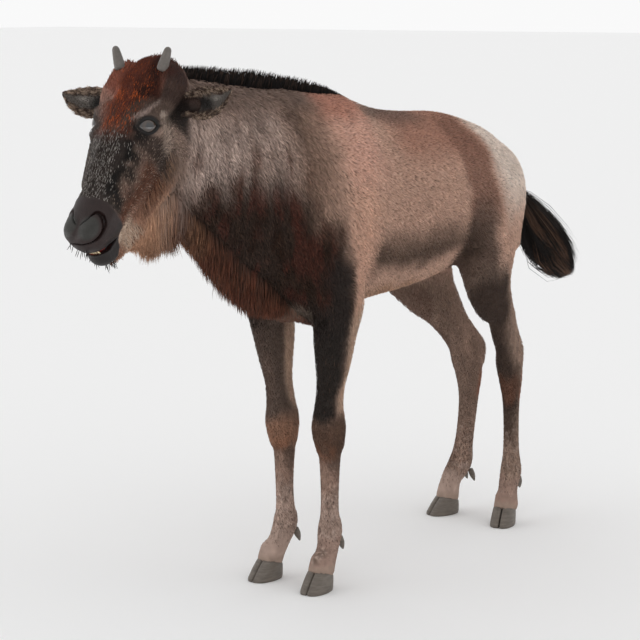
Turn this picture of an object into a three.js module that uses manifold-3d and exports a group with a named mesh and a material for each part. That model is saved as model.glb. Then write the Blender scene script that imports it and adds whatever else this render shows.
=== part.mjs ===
// A young wildebeest, a few months old, standing square with its head lowered a little.
// Millimetres, +Z up. The animal faces -Y and its own left is +X. The floor is Z = 0.
// The flesh is one smooth field, a sum of limbs strung on curves, and is parted into nodes by thin cuts.
// Hooves, horns, ears and eyes are solids of their own. The long hair is locks that grow out of the flesh.
import * as THREE from "three";
import { mergeVertices } from "three/addons/utils/BufferGeometryUtils.js";
import Module from "manifold-3d";

const wasm = await Module();
wasm.setup();

// Driving dimensions
const GAP = 0.3; // what touching solids keep between them
const SLIVER = { edge: 0.03, height: 0.012, passes: 8 }; // what counts as a needle-thin triangle
const BRISKET_Z = 526; // lowest point of the chest
const HEAD_TOP = [0, -735, 1018]; // middle of the forehead's upper edge
const FACE_LEAN = 31; // degrees that the face leans forward of upright
const EYE_RADIUS = 19;
const HORN_RADIUS = 10;
const EAR_LENGTH = 118;
const CLAW_WIDTH = 24;
const DEWCLAW_LENGTH = 26;

// Where each foot stands: the middle of its two claws on the floor, and how far back its stifle is carried
const FEET = {
  fore_left: { side: 1, x: 67, y: -320 },
  fore_right: { side: -1, x: -65, y: -313 },
  hind_left: { side: 1, x: 84, y: 320, stifle: -6, ham: [302, 41] },
  hind_right: { side: -1, x: -72, y: 322, stifle: 2, ham: [299, 54] },
};
const TOE_OUT = [Math.cos(0.3), Math.sin(0.3), 0]; // across the left hind leg

// Fields. A field gives about the distance to a surface in millimetres, negative inside.
const FAR = 1e3;

/** Two fields as one, rounded where they meet over a width k. */
function meet(k, a, b) {
  const h = Math.max(k - Math.abs(a - b), 0) / k;
  return Math.min(a, b) - (h * h * k) / 4;
}

/** Several fields as one, rounded over a width k. */
function blend(k, ...fields) {
  return (x, y, z) => {
    let d = fields[0](x, y, z);
    for (let i = 1; i < fields.length; i++) d = meet(k, d, fields[i](x, y, z));
    return d;
  };
}

/** A field and its mirror image across the middle plane. */
const both = (field) => (x, y, z) => field(Math.abs(x), y, z);

/** Point on the smooth curve (Catmull-Rom) through rows of numbers, a share t of the way past row i. */
function along(rows, i, t) {
  const at = (j) => rows[Math.min(Math.max(j, 0), rows.length - 1)];
  const [a, b, c, d] = [at(i - 1), at(i), at(i + 1), at(i + 2)];
  return b.map(
    (p, n) =>
      p +
      0.5 * t * (c[n] - a[n] + t * (2 * a[n] - 5 * p + 4 * c[n] - d[n] + t * (3 * (p - c[n]) + d[n] - a[n]))),
  );
}

/**
 * A limb: ellipses strung on a smooth curve. Each station is [x, y, z, half width across, half depth],
 * where across is the limb's sideways direction and depth is square to it and to the curve.
 */
function limb(stations, { across = [1, 0, 0], steps = 4 } = {}) {
  const rows = [];
  for (let i = 0; i < stations.length - 1; i++)
    for (let j = 0; j < steps; j++) rows.push(along(stations, i, j / steps));
  rows.push(stations.at(-1));
  const pieces = [];
  const low = [FAR * 9, FAR * 9, FAR * 9];
  const high = [-FAR * 9, -FAR * 9, -FAR * 9];
  for (let i = 0; i < rows.length - 1; i++) {
    const a = new THREE.Vector3(...rows[i]);
    const b = new THREE.Vector3(...rows[i + 1]);
    const run = b.clone().sub(a);
    const length = run.length();
    const t = run.clone().divideScalar(length);
    const n = t.clone().cross(new THREE.Vector3(...across)).normalize();
    const l = n.clone().cross(t).normalize();
    pieces.push([a.x, a.y, a.z, t.x, t.y, t.z, length, rows[i][3], rows[i + 1][3], rows[i][4], rows[i + 1][4],
      n.x, n.y, n.z, l.x, l.y, l.z]);
    for (const row of [rows[i], rows[i + 1]])
      for (let c = 0; c < 3; c++) {
        const r = Math.max(row[3], row[4]);
        low[c] = Math.min(low[c], row[c] - r);
        high[c] = Math.max(high[c], row[c] + r);
      }
  }
  const reach = 90; // beyond this the limb shapes nothing near by
  return (x, y, z) => {
    const away = Math.max(low[0] - x, x - high[0], low[1] - y, y - high[1], low[2] - z, z - high[2]);
    if (away > reach) return away;
    let nearest = FAR;
    for (const [ax, ay, az, tx, ty, tz, length, wa, wb, da, db, nx, ny, nz, lx, ly, lz] of pieces) {
      const [px, py, pz] = [x - ax, y - ay, z - az];
      const run = px * tx + py * ty + pz * tz;
      const share = Math.min(Math.max(run / length, 0), 1);
      const w = wa + (wb - wa) * share;
      const d = da + (db - da) * share;
      const past = run - share * length;
      const end = Math.min(w, d);
      const u = (px * lx + py * ly + pz * lz) / w;
      const v = (px * nx + py * ny + pz * nz) / d;
      const e = past / end;
      const size = Math.sqrt(u * u + v * v + e * e);
      const steep = Math.sqrt((u * u) / (w * w) + (v * v) / (d * d) + (e * e) / (end * end));
      const distance = steep < 1e-9 ? -end : (size * (size - 1)) / steep;
      if (distance < nearest) nearest = distance;
    }
    return nearest;
  };
}

/** A barrel of flesh lying along Y: each station is { y, top, bottom, half } in the middle plane. */
const barrel = (stations) =>
  limb(stations.map(({ y, top, bottom, half }) => [0, y, (top + bottom) / 2, half, (top - bottom) / 2]));

// Trunk: rib cage and belly, with the ridge of the spine along its top
const trunk = blend(
  24,
  barrel([
    { y: -366, top: 850, bottom: 626, half: 72 },
    { y: -318, top: 893, bottom: 556, half: 98 },
    { y: -235, top: 916, bottom: BRISKET_Z, half: 120 },
    { y: -120, top: 908, bottom: BRISKET_Z + 10, half: 136 },
    { y: 0, top: 892, bottom: BRISKET_Z + 18, half: 146 },
    { y: 105, top: 886, bottom: BRISKET_Z + 34, half: 144 },
    { y: 200, top: 876, bottom: BRISKET_Z + 66, half: 130 },
    { y: 290, top: 855, bottom: 622, half: 112 },
    { y: 346, top: 818, bottom: 664, half: 86 },
    { y: 372, top: 778, bottom: 700, half: 54 },
  ]),
  limb([
    [0, -330, 894, 26, 22],
    [0, -215, 914, 24, 24],
    [0, -150, 912, 26, 24],
    [0, -60, 892, 32, 22],
    [0, 40, 883, 38, 22],
    [0, 147, 878, 42, 22],
    [0, 240, 860, 42, 20],
    [0, 330, 829, 32, 18],
    [0, 380, 786, 22, 14],
  ]),
);

// Neck: deep and flat-sided, from the withers to the poll
const neck = limb([
  [0, -215, 756, 108, 178],
  [0, -310, 764, 96, 190],
  [0, -400, 784, 84, 186],
  [0, -480, 814, 75, 164],
  [0, -560, 850, 68, 138],
  [0, -630, 888, 62, 110],
  [0, -690, 930, 54, 78],
]);

// Head. Its own frame: x across, s down the face from the forehead's top, n out of the face.
const lean = THREE.MathUtils.degToRad(FACE_LEAN);
const DOWN_FACE = [0, -Math.sin(lean), -Math.cos(lean)];
const OUT_OF_FACE = [0, -Math.cos(lean), Math.sin(lean)];
const onHead = (x, s, n) => [
  x,
  HEAD_TOP[1] + s * DOWN_FACE[1] + n * OUT_OF_FACE[1],
  HEAD_TOP[2] + s * DOWN_FACE[2] + n * OUT_OF_FACE[2],
];
const headLimb = (stations, options) =>
  limb(
    stations.map(([x, s, n, w, d]) => [...onHead(x, s, n), w, d]),
    options,
  );

const skull = headLimb([
  [0, 8, -56, 58, 47],
  [0, 44, -54, 66, 52],
  [0, 84, -54, 69, 55],
  [0, 120, -55, 67, 58],
  [0, 160, -54, 60, 58],
  [0, 205, -52, 51, 53],
  [0, 245, -48, 44, 46],
  [0, 270, -44, 42, 40],
]);
const temple = headLimb([
  [58, 14, -34, 20, 19],
  [71, 42, -33, 17, 18],
  [66, 78, -30, 13, 14],
]);
const muzzle = headLimb([
  [0, 262, -38, 42, 36],
  [0, 288, -37, 42, 33],
  [0, 310, -34, 39, 29],
]);
const chin = headLimb([
  [0, 256, -106, 32, 23],
  [0, 296, -93, 31, 23],
  [0, 322, -78, 25, 22],
]);
const lowerJaw = headLimb([
  [0, 84, -124, 42, 36],
  [0, 140, -122, 42, 36],
  [0, 195, -110, 35, 30],
  [0, 245, -96, 30, 25],
]);
const cheek = headLimb([
  [36, 96, -92, 22, 40],
  [36, 150, -88, 20, 38],
  [28, 205, -76, 16, 28],
]);
const brow = headLimb([
  [48, 82, -16, 12, 11],
  [62, 98, -14, 12, 11],
  [66, 120, -34, 11, 12],
]);
const EYE = onHead(51.5, 108, -22.5);
const socket = limb([
  [...EYE, EYE_RADIUS + 1, EYE_RADIUS + 1],
  [EYE[0] + 2, EYE[1], EYE[2], EYE_RADIUS + 1, EYE_RADIUS + 1],
], { across: [0, 0, 1], steps: 1 });
const nosePad = headLimb([
  [0, 317, -19, 17, 15],
  [17, 309, -19, 20, 15],
  [30, 293, -23, 17, 12],
  [37, 278, -25, 11, 9],
], { across: DOWN_FACE });
const earRoot = headLimb([
  [44, 46, -70, 24, 24],
  [78, 43, -70, 19, 20],
  [98, 40, -70, 17, 18],
], { across: DOWN_FACE });
const hornRoot = headLimb([
  [38, 22, -26, 18, 16],
  [48, 8, -22, 16, 14],
]);
const skullAndJaw = blend(30, skull, lowerJaw, both(cheek));
const bareHead = blend(
  18,
  skullAndJaw,
  both(temple),
  both(brow),
  both(socket),
  muzzle,
  chin,
  both(earRoot),
  both(hornRoot),
);
const head = blend(8, bareHead, both(nosePad));

/** Fore leg from the shoulder blade to the top of the hoof, over a foot at [x, y]. */
function foreLeg({ side, x, y }) {
  const out = Math.abs(x);
  const leg = limb([
    [58, -190, 872, 26, 46],
    [88, -256, 790, 32, 70],
    [92, -308, 690, 34, 62],
    [92, -294, 612, 36, 66],
    [87, -278, 556, 37, 66],
    [76, -277, 500, 35, 57],
    [70, -276, 440, 30, 44],
    [64, -276, 394, 26, 33],
    [59, -275, 352, 26.5, 34],
    [57, -273, 314, 32, 38],
    [57, -270, 282, 27.5, 34],
    [56, -268, 254, 20, 26],
    [56, -268, 190, 17, 21],
    [55, -267, 140, 17.5, 21.5],
    [55, -266, 108, 23, 27],
    [(out + 55) / 2, (y - 258) / 2 + 7, 74, 21, 23],
    [out, y + 15, 44, 24, 24],
  ]);
  return (px, py, pz) => leg(side * px, py, pz);
}

/** Hind leg from the hip to the top of the hoof, over a foot at [x, y]. Its toe points a little outward. */
function hindLeg({ side, x, y, stifle, ham }) {
  const out = Math.abs(x);
  const spread = out - 76;
  const leg = limb([
    [62, 190, 800, 30, 56],
    [80, 250, 724, 54, 104],
    [88, 247 + stifle / 2, 650, 54, 109],
    [92, 236 + stifle, 580, 50, 104],
    [86, 262 + stifle, 520, 40, 76],
    [74 + spread / 2, ham[0], 472, 31, ham[1]],
    [63 + spread, 331, 424, 27, 41],
    [56 + spread, 360, 384, 27, 40],
    [53 + spread, 370, 350, 29, 39],
    [52 + spread, 379, 310, 26, 33],
    [53 + spread, 381, 262, 19, 26],
    [56 + spread, 378, 205, 17, 23],
    [60 + spread, 373, 150, 18, 23.5],
    [64 + spread, 367, 110, 23, 28],
    [out - 4, (y + 366) / 2, 76, 21, 24],
    [out, y + 15, 44, 24, 24],
  ], { across: TOE_OUT });
  const heelCord = limb([
    [70 + spread, 336, 462, 12, 20],
    [58 + spread, 380, 414, 10, 14],
    [48 + spread, 415, 372, 13, 15],
    [48 + spread, 412, 336, 14, 15],
  ], { across: TOE_OUT });
  const legs = blend(14, leg, heelCord);
  return (px, py, pz) => legs(side * px, py, pz);
}

const haunch = limb([
  [50, 312, 744, 42, 56],
  [60, 338, 690, 38, 54],
  [66, 334, 620, 32, 50],
]);
const flankFold = limb([
  [92, 176, 640, 18, 30],
  [92, 206, 576, 24, 34],
]);
const breast = limb([
  [32, -352, 650, 38, 48],
  [36, -340, 592, 38, 40],
  [34, -300, 556, 34, 34],
]);

/** The tail's dock, hanging back from the rump. */
const DOCK = [
  [0, 352, 798, 26, 26],
  [0, 398, 788, 21, 20],
  [0, 438, 760, 17, 17],
  [0, 480, 718, 14, 14],
  [0, 522, 684, 12, 12],
  [0, 552, 664, 9, 9],
  [0, 580, 644, 5, 5],
];
const tail = limb(DOCK);
const tailRoot = limb(DOCK.slice(0, 4));

const trunkAndNeck = blend(50, trunk, neck, both(haunch), both(flankFold), both(breast));
const flesh = blend(
  30,
  trunkAndNeck,
  foreLeg(FEET.fore_left),
  foreLeg(FEET.fore_right),
  hindLeg(FEET.hind_left),
  hindLeg(FEET.hind_right),
  head,
  tailRoot,
);

// Solids
/** A closed geometry as a solid. */
function solid(geometry, matrix) {
  const bare = geometry.clone();
  bare.deleteAttribute("normal");
  bare.deleteAttribute("uv");
  if (matrix) bare.applyMatrix4(matrix);
  const merged = mergeVertices(bare, 1e-4);
  return new wasm.Manifold(
    new wasm.Mesh({
      numProp: 3,
      vertProperties: new Float32Array(merged.attributes.position.array),
      triVerts: new Uint32Array(merged.index.array),
    }),
  );
}

/** Points and faces as a solid, turned right side out. */
function solidOf(points, faces) {
  const geometry = new THREE.BufferGeometry();
  geometry.setAttribute("position", new THREE.Float32BufferAttribute(points.flat(), 3));
  geometry.setIndex(faces.flat());
  const made = solid(geometry);
  if (made.volume() > 0) return made;
  geometry.setIndex(faces.map(([a, b, c]) => [a, c, b]).flat());
  return solid(geometry);
}

/** Rings of as many points each, joined in order and closed at both ends. A ring of one point is a tip. */
function loft(rings) {
  const points = rings.flat();
  const starts = [];
  for (const ring of rings) starts.push((starts.at(-1) ?? 0) + ring.length);
  starts.unshift(0);
  const faces = [];
  const cap = (start, count, turn) => {
    for (let i = 1; i < count - 1; i++) {
      const [a, b] = turn ? [i + 1, i] : [i, i + 1];
      faces.push([start, start + a, start + b]);
    }
  };
  for (let r = 0; r < rings.length - 1; r++) {
    const [a, b] = [starts[r], starts[r + 1]];
    const [na, nb] = [rings[r].length, rings[r + 1].length];
    const n = Math.max(na, nb);
    for (let i = 0; i < n; i++) {
      const j = (i + 1) % n;
      if (nb === 1) faces.push([a + i, a + j, b]);
      else if (na === 1) faces.push([a, b + j, b + i]);
      else faces.push([a + i, a + j, b + j], [a + i, b + j, b + i]);
    }
  }
  cap(starts[0], rings[0].length, true);
  cap(starts.at(-2), rings.at(-1).length, false);
  return solidOf(points, faces);
}

/**
 * The surface of a field as a solid, on grid lines xs, ys, zs: one vertex a cell, one quad a crossed edge.
 * The field is read in the grid's own frame, and place puts the points in the animal's.
 */
function polygonise(field, [xs, ys, zs], place) {
  const [nx, ny, nz] = [xs.length, ys.length, zs.length];
  const at = (i, j, k) => (k * ny + j) * nx + i;
  const value = new Float32Array(nx * ny * nz);
  for (let k = 0; k < nz; k++)
    for (let j = 0; j < ny; j++)
      for (let i = 0; i < nx; i++) {
        const rim = i === 0 || j === 0 || k === 0 || i === nx - 1 || j === ny - 1 || k === nz - 1;
        const v = field(xs[i], ys[j], zs[k]);
        value[at(i, j, k)] = rim ? Math.max(v, 1) : v;
      }
  const vertexOf = new Int32Array(nx * ny * nz).fill(-1);
  const points = [];
  for (let k = 0; k < nz - 1; k++)
    for (let j = 0; j < ny - 1; j++)
      for (let i = 0; i < nx - 1; i++) {
        let count = 0;
        const sum = [0, 0, 0];
        const crossing = (a, b) => {
          const va = value[at(...a)];
          const vb = value[at(...b)];
          if (va < 0 === vb < 0) return;
          const t = va / (va - vb);
          sum[0] += xs[a[0]] + t * (xs[b[0]] - xs[a[0]]);
          sum[1] += ys[a[1]] + t * (ys[b[1]] - ys[a[1]]);
          sum[2] += zs[a[2]] + t * (zs[b[2]] - zs[a[2]]);
          count++;
        };
        for (const p of [0, 1])
          for (const q of [0, 1]) {
            crossing([i, j + p, k + q], [i + 1, j + p, k + q]);
            crossing([i + p, j, k + q], [i + p, j + 1, k + q]);
            crossing([i + p, j + q, k], [i + p, j + q, k + 1]);
          }
        if (!count) continue;
        vertexOf[at(i, j, k)] = points.length;
        const size = Math.min(xs[i + 1] - xs[i], ys[j + 1] - ys[j], zs[k + 1] - zs[k]);
        points.push(settle(field, sum.map((c) => c / count), 0.3 * size));
      }
  const faces = [];
  const quad = (flip, a, b, c, d) => {
    if (flip) faces.push([a, c, b], [a, d, c]);
    else faces.push([a, b, c], [a, c, d]);
  };
  for (let k = 0; k < nz - 1; k++)
    for (let j = 0; j < ny - 1; j++)
      for (let i = 0; i < nx - 1; i++) {
        const here = value[at(i, j, k)] < 0;
        const cell = (a, b, c) => vertexOf[at(i - a, j - b, k - c)];
        if (j && k && here !== value[at(i + 1, j, k)] < 0)
          quad(!here, cell(0, 1, 1), cell(0, 0, 1), cell(0, 0, 0), cell(0, 1, 0));
        if (i && k && here !== value[at(i, j + 1, k)] < 0)
          quad(here, cell(1, 0, 1), cell(0, 0, 1), cell(0, 0, 0), cell(1, 0, 0));
        if (i && j && here !== value[at(i, j, k + 1)] < 0)
          quad(!here, cell(1, 1, 0), cell(0, 1, 0), cell(0, 0, 0), cell(1, 0, 0));
      }
  return solidOf(points.map((point) => place(...point)), faces);
}

/** A point moved on to the field's surface, by no more than a given distance. */
function settle(field, [x, y, z], most) {
  const h = 0.5;
  const f = field(x, y, z);
  const g = [
    (field(x + h, y, z) - field(x - h, y, z)) / (2 * h),
    (field(x, y + h, z) - field(x, y - h, z)) / (2 * h),
    (field(x, y, z + h) - field(x, y, z - h)) / (2 * h),
  ];
  const steep = g[0] * g[0] + g[1] * g[1] + g[2] * g[2];
  if (steep < 1e-6) return [x, y, z];
  const step = Math.max(-most, Math.min(most, f / Math.sqrt(steep))) / Math.sqrt(steep);
  return [x - g[0] * step, y - g[1] * step, z - g[2] * step];
}

/**
 * The surface of a field as a solid with rings of rays. Each station is { at, along, tilt }: a centre inside
 * the field, the direction in which the rings follow each other, and the degrees that the rays lean that way.
 */
function wrap(field, stations, sides) {
  const rings = stations.map(({ at, along: axis, tilt = 0 }) => {
    const ahead = new THREE.Vector3(...axis).normalize();
    const second = ahead.clone().cross(new THREE.Vector3(1, 0, 0)).normalize();
    const first = second.clone().cross(ahead);
    const lean = THREE.MathUtils.degToRad(tilt);
    const count = Math.abs(tilt) > 89 ? 1 : sides;
    return Array.from({ length: count }, (_, i) => {
      const turn = (2 * Math.PI * (i + 0.5)) / sides;
      const ray = first.clone().multiplyScalar(Math.cos(turn)).addScaledVector(second, Math.sin(turn));
      ray.multiplyScalar(Math.cos(lean)).addScaledVector(ahead, Math.sin(lean));
      return surfacePoint(field, at, ray);
    });
  });
  return loft(rings);
}

/** Where a ray from a point inside a field first leaves it. */
function surfacePoint(field, [x, y, z], ray) {
  const value = (r) => field(x + ray.x * r, y + ray.y * r, z + ray.z * r);
  let inside = 0;
  let outside = 2;
  for (let f = value(outside); f < 0; f = value(outside)) {
    inside = outside;
    outside += Math.min(Math.max(-0.6 * f, 1), 8);
  }
  for (let i = 0; i < 12; i++) {
    const middle = (inside + outside) / 2;
    if (value(middle) < 0) inside = middle;
    else outside = middle;
  }
  return [x + ray.x * inside, y + ray.y * inside, z + ray.z * inside];
}

/** Evenly spaced grid lines from low to high. */
function lines(low, high, step) {
  const count = Math.max(2, Math.round((high - low) / step));
  return Array.from({ length: count + 1 }, (_, i) => low + ((high - low) * i) / count);
}

/** The half of space behind a plane through a point, as a big box. The plane faces along normal. */
function behind(point, normal) {
  const size = 3000;
  const turn = new THREE.Quaternion().setFromUnitVectors(
    new THREE.Vector3(0, 0, 1),
    new THREE.Vector3(...normal).normalize(),
  );
  const matrix = new THREE.Matrix4().makeRotationFromQuaternion(turn).setPosition(...point);
  return solid(new THREE.BoxGeometry(size, size, size).translate(0, 0, -size / 2), matrix);
}

/** A box from one corner to the other. */
function box([x0, x1], [y0, y1], [z0, z1]) {
  return solid(
    new THREE.BoxGeometry(x1 - x0, y1 - y0, z1 - z0).translate((x0 + x1) / 2, (y0 + y1) / 2, (z0 + z1) / 2),
  );
}

/** A solid's largest closed piece. */
const largest = (made) => made.decompose().reduce((a, b) => (b.volume() > a.volume() ? b : a));

const intersect = (...all) => all.reduce((a, b) => a.intersect(b));
const join = (all) => all.reduce((a, b) => a.add(b));
const moved = (point, normal, by) => {
  const n = new THREE.Vector3(...normal).normalize();
  return [point[0] + n.x * by, point[1] + n.y * by, point[2] + n.z * by];
};

// Nodes
const wildebeest = new THREE.Group();
const coat = new THREE.MeshStandardMaterial({ color: 0x6f5a4e, roughness: 0.9 });
const hoofHorn = new THREE.MeshStandardMaterial({ color: 0x57524b, roughness: 0.55 });
const horn = new THREE.MeshStandardMaterial({ color: 0x6b665f, roughness: 0.5 });
const eyeball = new THREE.MeshStandardMaterial({ color: 0x4a4f55, roughness: 0.12 });
const blackHair = new THREE.MeshStandardMaterial({ color: 0x1d1a18, roughness: 0.8 });

/**
 * A solid without the needle-thin triangles that joins and cuts leave. Short edges are drawn together, and
 * where a corner lies on the edge across from it, that edge is turned to run from it to the corner beyond.
 */
function withoutSlivers(made) {
  const { vertProperties, triVerts } = made.getMesh();
  const point = (i) => new THREE.Vector3().fromArray(vertProperties, 3 * i);
  let faces = [];
  for (let i = 0; i < triVerts.length; i += 3) faces.push([triVerts[i], triVerts[i + 1], triVerts[i + 2]]);
  for (let pass = 0; pass < SLIVER.passes; pass++) {
    const stand = new Map();
    const standing = (i) => (stand.has(i) ? standing(stand.get(i)) : i);
    for (const face of faces)
      for (let c = 0; c < 3; c++) {
        const [a, b] = [standing(face[c]), standing(face[(c + 1) % 3])];
        if (a !== b && point(a).distanceTo(point(b)) < SLIVER.edge) stand.set(b, a);
      }
    faces = faces.map((face) => face.map(standing)).filter(([a, b, c]) => a !== b && b !== c && c !== a);
    const owner = new Map();
    faces.forEach((face, f) => face.forEach((a, c) => owner.set(a + "_" + face[(c + 1) % 3], f)));
    const touched = new Set();
    for (let f = 0; f < faces.length; f++) {
      if (touched.has(f)) continue;
      const lengths = faces[f].map((a, c) => point(a).distanceTo(point(faces[f][(c + 1) % 3])));
      const longest = lengths.indexOf(Math.max(...lengths));
      const [a, b, c] = [0, 1, 2].map((n) => faces[f][(longest + n) % 3]);
      const area = point(b).sub(point(a)).cross(point(c).sub(point(a))).length();
      if (area / lengths[longest] > SLIVER.height) continue;
      const over = owner.get(b + "_" + a);
      if (over === undefined || touched.has(over)) continue;
      const d = faces[over].find((i) => i !== a && i !== b);
      if (owner.has(c + "_" + d) || owner.has(d + "_" + c)) continue;
      faces[f] = [a, d, c];
      faces[over] = [d, b, c];
      touched.add(f);
      touched.add(over);
    }
    if (!touched.size && !stand.size) break;
  }
  const used = [...new Set(faces.flat())];
  const place = new Map(used.map((i, n) => [i, n]));
  return solidOf(used.map((i) => point(i).toArray()), faces.map((face) => face.map((i) => place.get(i))));
}

/** Adds a solid to the animal under a node's name. */
function add(name, made, material) {
  const { vertProperties, triVerts } = largest(withoutSlivers(largest(made))).getMesh();
  const geometry = new THREE.BufferGeometry();
  geometry.setAttribute("position", new THREE.Float32BufferAttribute(vertProperties, 3));
  geometry.setIndex(new THREE.Uint32BufferAttribute(triVerts, 1));
  geometry.computeVertexNormals();
  const mesh = new THREE.Mesh(geometry, material);
  mesh.name = name;
  wildebeest.add(mesh);
  return mesh;
}

// Cuts between the nodes of flesh
const HEAD_CUT = { point: onHead(0, 60, -128), normal: [0, -0.9, -0.12] };
const NECK_CUT = { point: [0, -392, 700], normal: [0, -1, 0.1] };
// A leg's cut: its height in the middle plane, and its rise outward and backward
const FORE_CUT = { base: 494, out: 0.74, back: 0 };
const HIND_CUT = { base: 427, out: 0.4, back: 0.52 };
const BELLY_Y = -20; // the legs in front of this are the fore legs
const KNEE_Z = 268;
const HOCK_Z = 292;
const FETLOCK_Z = 128;
const CORONET_Z = 37; // top of the hooves
const EAR_CUT = 91; // the ears leave the head this far from its middle
const SPARE = 12; // how far a piece of flesh is made past its cut

/** The side of a cut that it faces, or with ahead = false the other side, set back by half the gap. */
function sideOf({ point, normal }, ahead = true) {
  const facing = ahead ? normal.map((c) => -c) : normal;
  return behind(moved(point, facing, -GAP / 2), facing);
}

/** A cut moved along its own direction. */
const shifted = ({ point, normal }, by) => ({ point: moved(point, normal, by), normal });

/** Stations for wrap along a list of centres, with a rounded end where tilts are given. */
function path(centres, startTilts = [], endTilts = []) {
  const axisAt = (i) => {
    const a = centres[Math.max(i - 1, 0)];
    const b = centres[Math.min(i + 1, centres.length - 1)];
    return b.map((c, n) => c - a[n]);
  };
  const last = centres.length - 1;
  return [
    ...startTilts.map((tilt) => ({ at: centres[0], along: axisAt(0), tilt })),
    ...centres.map((at, i) => ({ at, along: axisAt(i) })),
    ...endTilts.map((tilt) => ({ at: centres[last], along: axisAt(last), tilt })),
  ];
}

/** Rows in between, evenly spaced on the smooth curve through rows of numbers. */
function between(rows, count) {
  return Array.from({ length: count + 1 }, (_, i) => {
    const t = ((rows.length - 1) * i) / count;
    const start = Math.min(Math.floor(t), rows.length - 2);
    return along(rows, start, t - start);
  });
}

/** Points as a ring round a centre: u across it, v up it, one for each [share of u, share of v]. */
const ring = (centre, u, v, shares) =>
  shares.map(([p, q]) => [0, 1, 2].map((c) => centre[c] + p * u[c] + q * v[c]));
const circle = (count) =>
  Array.from({ length: count }, (_, i) => {
    const turn = (2 * Math.PI * i) / count;
    return [Math.cos(turn), Math.sin(turn)];
  });
const unit = (v) => {
  const length = Math.hypot(...v);
  return v.map((c) => c / length);
};
const cross = ([a, b, c], [d, e, f]) => [b * f - c * e, c * d - a * f, a * e - b * d];
const scaled = (v, by) => v.map((c) => c * by);
const plus = (a, b) => a.map((c, i) => c + b[i]);
const flip = (side, [x, y, z]) => [side * x, y, z];

/** A round bar along centres: each row is [x, y, z, radius]. Its last end is rounded off to a point. */
function bar(rows, sides, blunt = true) {
  const rings = rows.map((row, i) => {
    const a = rows[Math.max(i - 1, 0)];
    const b = rows[Math.min(i + 1, rows.length - 1)];
    const axis = unit([b[0] - a[0], b[1] - a[1], b[2] - a[2]]);
    const u = unit(cross(axis, Math.abs(axis[0]) > 0.8 ? [0, 0, 1] : [1, 0, 0]));
    const v = cross(axis, u);
    return ring(row.slice(0, 3), scaled(u, row[3]), scaled(v, row[3]), circle(sides));
  });
  if (blunt) {
    const end = rows.at(-1);
    const before = rows.at(-2);
    const axis = unit([end[0] - before[0], end[1] - before[1], end[2] - before[2]]);
    rings.push([plus(end.slice(0, 3), scaled(axis, end[3] * 0.6))]);
  }
  return loft(rings);
}

// Long hair: locks set over a core that reaches half way out to their tips
const SINK = 12; // how deep a lock's root lies under the skin
const UP = new THREE.Vector3(0, 0, 1);
const DOWN = new THREE.Vector3(0, 0, -1);

/** A draw of numbers between two others, the same each time for the same seed. */
function shuffled(seed) {
  const [factor, modulus] = [16807, 2147483647];
  let state = seed;
  return (low, high) => {
    state = (state * factor) % modulus;
    return low + ((high - low) * state) / modulus;
  };
}

/** A flat lock from its root through a middle point to a tip. Its width lies along wide. */
function lock(root, middle, tip, wide, width, thick) {
  const blade = (centre, run, share) => {
    const across = unit(cross(cross(run, wide), run));
    const out = unit(cross(run, across));
    const u = scaled(across, (share * width) / 2);
    const v = scaled(out, (share * thick) / 2);
    return ring(centre, u, v, circle(4));
  };
  const run = (a, b) => b.map((c, i) => c - a[i]);
  return loft([blade(root, run(root, middle), 0.7), blade(middle, run(root, tip), 1), [tip]]);
}

/** The row at y on the broken line through rows that start with y. */
function rowAt(rows, y) {
  const after = rows.findIndex((row) => row[0] > y);
  const next = after < 0 ? rows.length - 1 : Math.max(after, 1);
  const [a, b] = [rows[next - 1], rows[next]];
  const t = Math.min(Math.max((y - a[0]) / (b[0] - a[0]), 0), 1);
  return a.map((c, i) => c + t * (b[i] - c));
}

/**
 * A crest of hair in the middle plane. Each row of its edge is [y, z of the tips, z inside the flesh, half
 * width]. Its core is a keel. Its locks stand in files side by side, the outer ones shorter, combed backward.
 */
function crest(edge, { seed, up, files, pitch, width, thick, back }) {
  const random = shuffled(seed);
  const ray = up ? UP : DOWN;
  const core = edge.map(([y, tips, inside, half]) => {
    const skin = surfacePoint(flesh, [0, y, inside], ray)[2];
    const top = (skin + tips) / 2;
    const low = (top + inside) / 2;
    const section = [[-1, inside], [1, inside], [0.72, low], [0.18, top], [-0.18, top], [-0.72, low]];
    return section.map(([share, z]) => [share * half, y, z]);
  });
  const locks = files.flatMap((file, f) => {
    const count = Math.floor((edge.at(-1)[0] - edge[0][0]) / pitch);
    return Array.from({ length: count }, (_, i) => {
      const y = edge[0][0] + pitch * (i + (f + 0.5) / files.length + random(-0.2, 0.2));
      const [, , inside, half] = rowAt(edge, y);
      const x = file * half + random(-2, 2);
      const skin = surfacePoint(flesh, [0.8 * x, y, inside], ray)[2];
      const shorter = 0.35 * Math.abs(x) + random(-2, 4);
      const tips = rowAt(edge, y + back)[1];
      const end = up ? Math.max(tips - shorter, skin + 8) : Math.min(tips + shorter, skin - 8);
      const root = [x, y, skin - SINK * ray.z];
      const tip = [0.8 * x + random(-2, 2), y + back * random(0.8, 1.2), end];
      const middle = [x, y + 0.3 * back, (root[2] + tip[2]) / 2];
      return lock(root, middle, tip, [random(-0.3, 0.3), 1, 0], width * random(0.9, 1.1), thick);
    });
  });
  return join([loft(core), ...locks]);
}

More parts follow.
